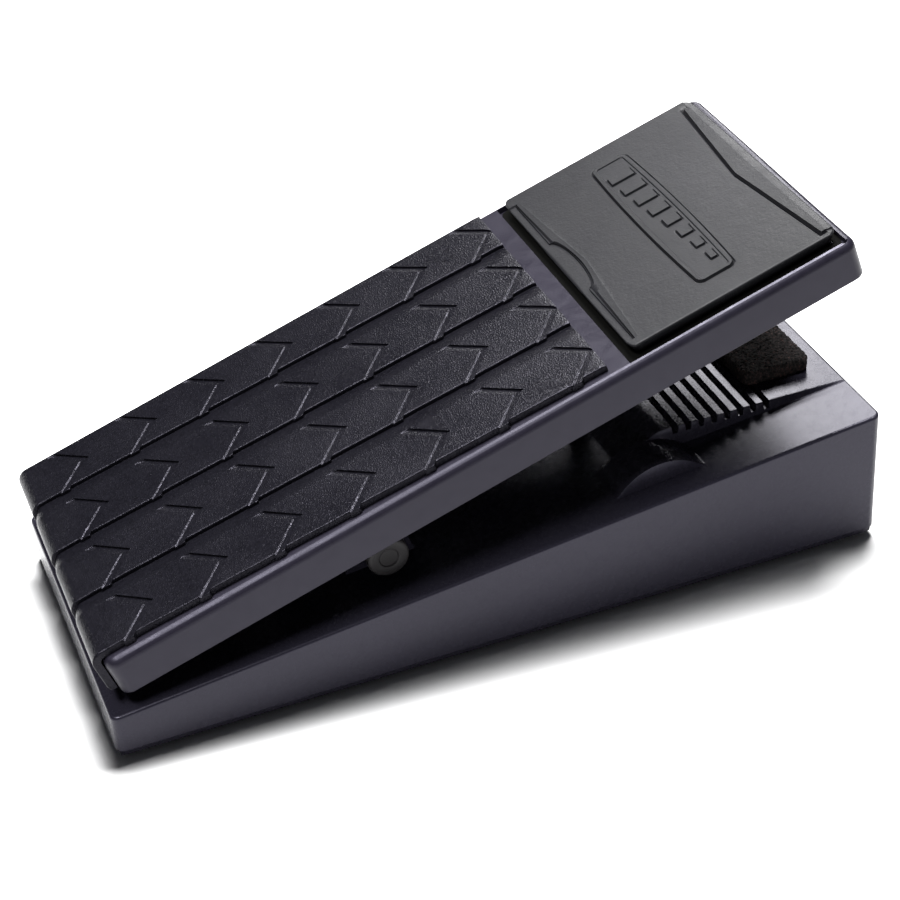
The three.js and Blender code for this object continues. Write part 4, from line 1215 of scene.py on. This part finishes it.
def build_pad_moat_shade():
    """The pad's thin lip, which fills the floor of its recess with a near-black, matte sheet: painted shade in the
    moat round the pad.
    """
    outer = [(low + LIP_INSET, high - LIP_INSET) for low, high in (PAD_RECESS, PAD_RECESS_SIDES)]
    inner = [(low + LIP_OVERLAP, high - LIP_OVERLAP) for low, high in zip(PAD_LOW, PAD_HIGH)]
    xs, ys = (
        grid_lines(*ends, LIP_GRID, rim_lines(*ends, LIP_INSET, 3), opening)
        for ends, opening in zip(outer, inner)
    )

    def under_pad(u, v):
        return (u > inner[0][0]) & (u < inner[0][1]) & (v > inner[1][0]) & (v < inner[1][1])

    moat_shade_sheet = relief(
        "toe_pad_moat_shade", xs, ys, flat_at(PAD_BOTTOM - LIP_GAP), flat_at(PAD_RECESS_FLOOR + LIP_EDGE),
        LIP_CORNER, TO_TREADLE, top_edge=LIP_EDGE, bottom_edge=LIP_EDGE, hole=under_pad,
    )
    dress(moat_shade_sheet, "pad_rubber", "treadle", look="moat_shade_rubber")


# ------------------------------------------------------------------------ foam bumper

FOAM_GRID = 0.45
FOAM_EDGE = 1.1
FOAM_CORNER = 3
FOAM_LUMPS = 0.125
FOAM_GRIT = 0.22
FOAM_CELL = 0.0011
FOAM_ROUGHNESS = 0.0009
FOAM_FACE = 0.62


def hash_noise(x, y, seed):
    """Repeatable noise between -1 and 1 for arrays of places."""
    value = np.sin(x * 12.9898 + y * 78.233 + seed) * 43758.5453
    return 2 * (value - np.floor(value)) - 1


def build_foam():
    low, high = housing_box("toe_foam_bumper")
    xs = grid_lines(low.x, high.x, FOAM_GRID)
    ys = grid_lines(low.y, high.y, FOAM_GRID)

    def foam_top(x, y):
        lumps = FOAM_LUMPS * np.sin(x * 0.9 + 2 * np.sin(y * 0.35)) * np.sin(y * 0.8 + 1.3)
        return high.z - 0.45 + lumps + FOAM_GRIT * hash_noise(x, y, 3)

    foam = relief(
        "foam_stop", xs, ys, foam_top, flat_at(low.z - 0.2), FOAM_CORNER, TO_HOUSING,
        top_edge=FOAM_EDGE, bottom_edge=0.5, angle=180,
    )
    subdivide = foam.modifiers.new("finer", "SUBSURF")
    subdivide.subdivision_type = "SIMPLE"
    subdivide.levels = subdivide.render_levels = 1
    texture = bpy.data.textures.new("foam_cells", "CLOUDS")
    texture.noise_scale = FOAM_CELL
    texture.noise_depth = 2
    rough = foam.modifiers.new("rough", "DISPLACE")
    rough.texture = texture
    rough.texture_coords = "GLOBAL"
    rough.strength = FOAM_ROUGHNESS
    rough.mid_level = FOAM_FACE
    apply_modifiers(foam, 180)
    dress(foam, "foam", "base", ["toe_foam_bumper"])


# --------------------------------------------------------------- fasteners, caps, feet

# Head height and shank radius.
FLAT_SCREW = (1.4, 1.5)
PAN_SCREW = (1.5, 1.4)
THREAD_START = 0.3
THREAD_PITCH = 0.6
THREAD_ROOT = 0.86
CROWN = np.linspace(0, 1.35, 8)[1:]
RECESS_REACH = 0.55
RECESS_WIDTH = 0.2


def screw_mesh(name, matrix, radius, height, shank, length, flat):
    """A screw with a cross recess and a threaded shank, pointing along +Z from its head's seat at 0.

    A flat head is a cone with its wide end away from the shank, and a pan head is a low dome.
    """
    if flat:
        head = [(0, -height), (radius - 0.1, -height), (radius, 0.15 - height)]
    else:
        crown = [(radius * math.sin(turn), -height * math.cos(turn)) for turn in CROWN]
        head = [(0, -height), *crown, (radius, -0.15), (radius - 0.15, 0)]
    root = shank * THREAD_ROOT
    thread = [(root, 0)]
    for i in range(int((length - 1.2) / THREAD_PITCH)):
        along = THREAD_START + i * THREAD_PITCH
        thread += [(root, along), (shank, along + THREAD_PITCH / 2)]
    point = [(shank * 0.8, length - 0.5), (shank * 0.4, length), (0, length)]
    screw = lathe(name, [*head, *thread, *point], matrix, facets=32)
    blades = []
    for turn in (0, math.pi / 2):
        bm = bmesh.new()
        bmesh.ops.create_cube(bm, size=1)
        size = (2 * radius * RECESS_REACH, radius * RECESS_WIDTH, height)
        bmesh.ops.scale(bm, vec=size, verts=bm.verts)
        place = Matrix.Rotation(turn, 4, "Z") @ Matrix.Translation((0, 0, -height))
        blades.append(finish_mesh("blade", bm, matrix @ place))
    cut(screw, blades)
    return screw


def build_screws():
    for name in [node for node in frame["nodes"] if "_screw_" in node]:
        body = "treadle" if name.startswith("treadle") else "base"
        flat = name.startswith("bottom")
        height, shank = FLAT_SCREW if flat else PAN_SCREW
        matrix = TO_TREADLE if body == "treadle" else TO_HOUSING
        inverse = matrix.inverted()
        corners = np.array([inverse @ vertex.co for vertex in frame["nodes"][name].data.vertices])
        low = corners.min(axis=0)
        high = corners.max(axis=0)
        middle = (low + high) / 2
        seat = low[2] + height
        place = matrix @ Matrix.Translation((middle[0], middle[1], seat))
        radius = (high[0] - low[0]) / 2
        screw = screw_mesh(name + "_detailed", place, radius, height, shank, high[2] - seat, flat)
        dress(screw, "fastener_steel", body, [name])


def round_over(radius, face, edge, outward, count):
    """Profile points from the side of a turned piece over its round edge to its end face."""
    return [(radius - edge + edge * math.cos(turn), face + outward * edge * (math.sin(turn) - 1))
            for turn in np.linspace(0, math.pi / 2, count)]


CAP_RADIUS = 6.6
CAP_FACE = 41
CAP_BACK = 35.6
CAP_EDGE = 1.1
CAP_BORE = (3.3, 39.2)
CAP_DISH = [(3.4, CAP_FACE), (3.1, CAP_FACE - 0.15), (2.9, CAP_FACE - 0.5), (0, CAP_FACE - 0.6)]


def build_axle_caps():
    bore, bore_end = CAP_BORE
    profile = [
        (0, bore_end), (bore, bore_end), (bore, CAP_BACK),
        (CAP_RADIUS - 0.3, CAP_BACK), (CAP_RADIUS, CAP_BACK + 0.3),
        *round_over(CAP_RADIUS, CAP_FACE, CAP_EDGE, 1, 8), *CAP_DISH,
    ]
    for name, side in SIDES.items():
        mirrored = [(radius, side * along) for radius, along in profile]
        cap = lathe(f"cap_{name}", mirrored, TO_PIVOT, "Y")
        dress(cap, "cap_plastic", "treadle", [f"axle_cap_{name}"])


FOOT_EDGE = 0.6
FOOT_GROOVES = (2.0, 4.4)
FOOT_GROOVE = [(0, 0), (0.2, 0.25), (1.0, 0.25), (1.2, 0)]


def build_feet():
    grooves = [(start + out, depth) for start in FOOT_GROOVES for out, depth in FOOT_GROOVE]
    for name in [node for node in frame["nodes"] if node.startswith("foot_")]:
        low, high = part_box(name)
        middle = (low + high) / 2
        centre = Matrix.Translation((middle.x, middle.y, 0)) @ Matrix.Scale(MM, 4)
        radius = (high.x - low.x) / 2 / MM
        top = high.z / MM
        rim = reversed(round_over(radius, 0, FOOT_EDGE, -1, 6))
        foot = lathe(name + "_rubber", [(0, 0), *grooves, *rim, (radius, top), (0, top)], centre)
        dress(foot, "foot_rubber", "base", [name])


COLLAR_ROOT = 4.35
COLLAR_CREST = 4.7
COLLAR_PITCH = 0.7
SOCKET_BORE = 3.3
WASHER = [(5.1, 120.8), (8.1, 120.8), (8.2, 120.9), (8.2, 121.4), (8.1, 121.5), (5.1, 121.5)]
NUT = (121.8, 123.9)
NUT_RADIUS = 7.5
NUT_BORE = 4.95
SOCKET_EDGE = 0.8
NUT_EDGE = 0.3


def build_socket():
    """The output socket: a moulded body with a threaded collar, a washer and a nut on the toe face."""
    axis = socket_axis()
    low, high = housing_box("jack_body")
    outline = [(low.x, low.z), (SOCKET_FACE, low.z), (SOCKET_FACE, high.z), (low.x, high.z)]
    body = extruded("socket_body", outline, low.y, high.y, TO_HOUSING, SOCKET_EDGE)
    thread = []
    for along in np.arange(SOCKET_FACE + 0.5, high.x - 0.6, COLLAR_PITCH):
        thread += [(COLLAR_ROOT, along), (COLLAR_CREST, along + COLLAR_PITCH / 2)]
    base = SOCKET_FACE - 1
    tip = [(COLLAR_ROOT - 0.15, high.x), (0, high.x)]
    join(body, [lathe("collar", [(0, base), (COLLAR_ROOT, base), *thread, *tip], axis, "X")])
    cut(body, [bar("bore", SOCKET_BORE, low.x + 3, high.x + 1, axis, "X")])
    weight_normals(body)
    dress(body, "component_plastic", "base", ["jack_body"])
    dress(lathe("socket_washer", WASHER, axis, "X"), "fastener_steel", "base", ["jack_washer"])
    across = axis @ Matrix.Rotation(-math.pi / 2, 4, "Z")
    nut = extruded("socket_nut", circle(NUT_RADIUS, 6), *NUT, across, NUT_EDGE, segments=2)
    cut(nut, [bar("nut_bore", NUT_BORE, NUT[0] - 1.8, NUT[1] + 2.1, axis, "X")])
    weight_normals(nut)
    dress(nut, "fastener_steel", "base", ["jack_nut"])


SOFT_EDGES = {
    "pivot_bracket": 0.5,
    "pot_bracket": 0.4,
    "bottom_plate": 0.3,
    "gear_sector": 0.12,
    "pinion_gear": 0.1,
    "heel_bumper_near": 0.8,
    "heel_bumper_far": 0.8,
}
USUAL_EDGE = 0.15
WELD_DISTANCE = 0.00001


def dress_cad_nodes():
    """Rounds the edges of the CAD nodes that stay, and gives each its slot's material."""
    slots = {entry["node"]: entry["material_slot"] for entry in frame["record"]["subparts"]}
    for name, node in frame["nodes"].items():
        dress(node, slots[name])
        for polygon in node.data.polygons:
            polygon.use_smooth = True
        weld = node.modifiers.new("weld", "WELD")
        weld.merge_threshold = WELD_DISTANCE
        bevel = node.modifiers.new("round", "BEVEL")
        bevel.width = SOFT_EDGES.get(name, USUAL_EDGE) * MM
        bevel.segments = 2
        bevel.limit_method = "ANGLE"
        bevel.angle_limit = math.radians(SHARP_ANGLE)
        weight_normals(node)


# ---------------------------------------------------------------------- floor and light


FLOOR_HALF = 4
FLOOR_MIDDLE = (0, 1.5, 0)
KEY = {"place": (0.12, 0.23, 1.2), "target": (0, 0, 0), "size": (0.5, 0.3), "power": 50}
SHEEN = {"place": (0.48, 0.94, 0.84), "target": (0.08, 0, 0.05), "size": (0.5, 0.5), "power": 15}
RIM = {"place": (-0.5, -0.12, 1.1), "target": (-0.06, 0, 0), "size": (0.62, 0.2), "power": 23}
FILL = {"place": (0, -0.9, 0.1), "target": (0, 0, 0.04), "size": (0.7, 0.14), "power": 3}
WORLD_COLOR = (0.9, 0.92, 1, 1)
WORLD_STRENGTH = 0.04


def make_floor():
    bm = bmesh.new()
    bmesh.ops.create_grid(bm, x_segments=1, y_segments=1, size=FLOOR_HALF)
    floor = finish_mesh("floor", bm, Matrix.Translation(FLOOR_MIDDLE))
    look = Look("floor_white", (0.94, 0.94, 0.94), 0.9, Specular_IOR_Level=0.0)
    look.tint(look.noise(2, 2), [(0.3, (0.93, 0.93, 0.93)), (0.7, (0.95, 0.95, 0.95))])
    floor.data.materials.append(look.material)
    return floor


def area_light(name, place, target, size, power, kept_off=None, glossy=True):
    """A soft lamp at a place, facing a target, that may leave one object unlit."""
    data = bpy.data.lights.new(name, "AREA")
    data.shape = "RECTANGLE"
    data.size, data.size_y = size
    data.energy = power
    light = add_object(name, data)
    place = Vector(place)
    facing = (Vector(target) - place).to_track_quat("-Z", "Y").to_matrix().to_4x4()
    light.matrix_world = Matrix.Translation(place) @ facing
    light.visible_glossy = glossy
    if kept_off is not None:
        flagged = bpy.data.collections.new(name + "_flagged")
        flagged.objects.link(kept_off)
        flagged.collection_objects[0].light_linking.link_state = "EXCLUDE"
        light.light_linking.receiver_collection = flagged


def make_light(floor):
    """One soft key from above and behind, and three lamps that light only the pedal itself."""
    world = bpy.data.worlds.new("studio")
    world.use_nodes = True
    background = world.node_tree.nodes["Background"]
    background.inputs["Color"].default_value = WORLD_COLOR
    background.inputs["Strength"].default_value = WORLD_STRENGTH
    bpy.context.scene.world = world
    area_light("key", **KEY)
    area_light("sheen", **SHEEN, kept_off=floor)
    area_light("rim", **RIM, kept_off=floor)
    area_light("fill", **FILL, kept_off=floor, glossy=False)
    bpy.context.scene.view_settings.view_transform = "Standard"


make_camera()
make_light(make_floor())
dress_cad_nodes()
build_housing()
build_pillars()
build_treadle_shell()
build_mat()
build_pad()
build_pad_moat_shade()
build_foam()
build_screws()
build_axle_caps()
build_feet()
build_socket()
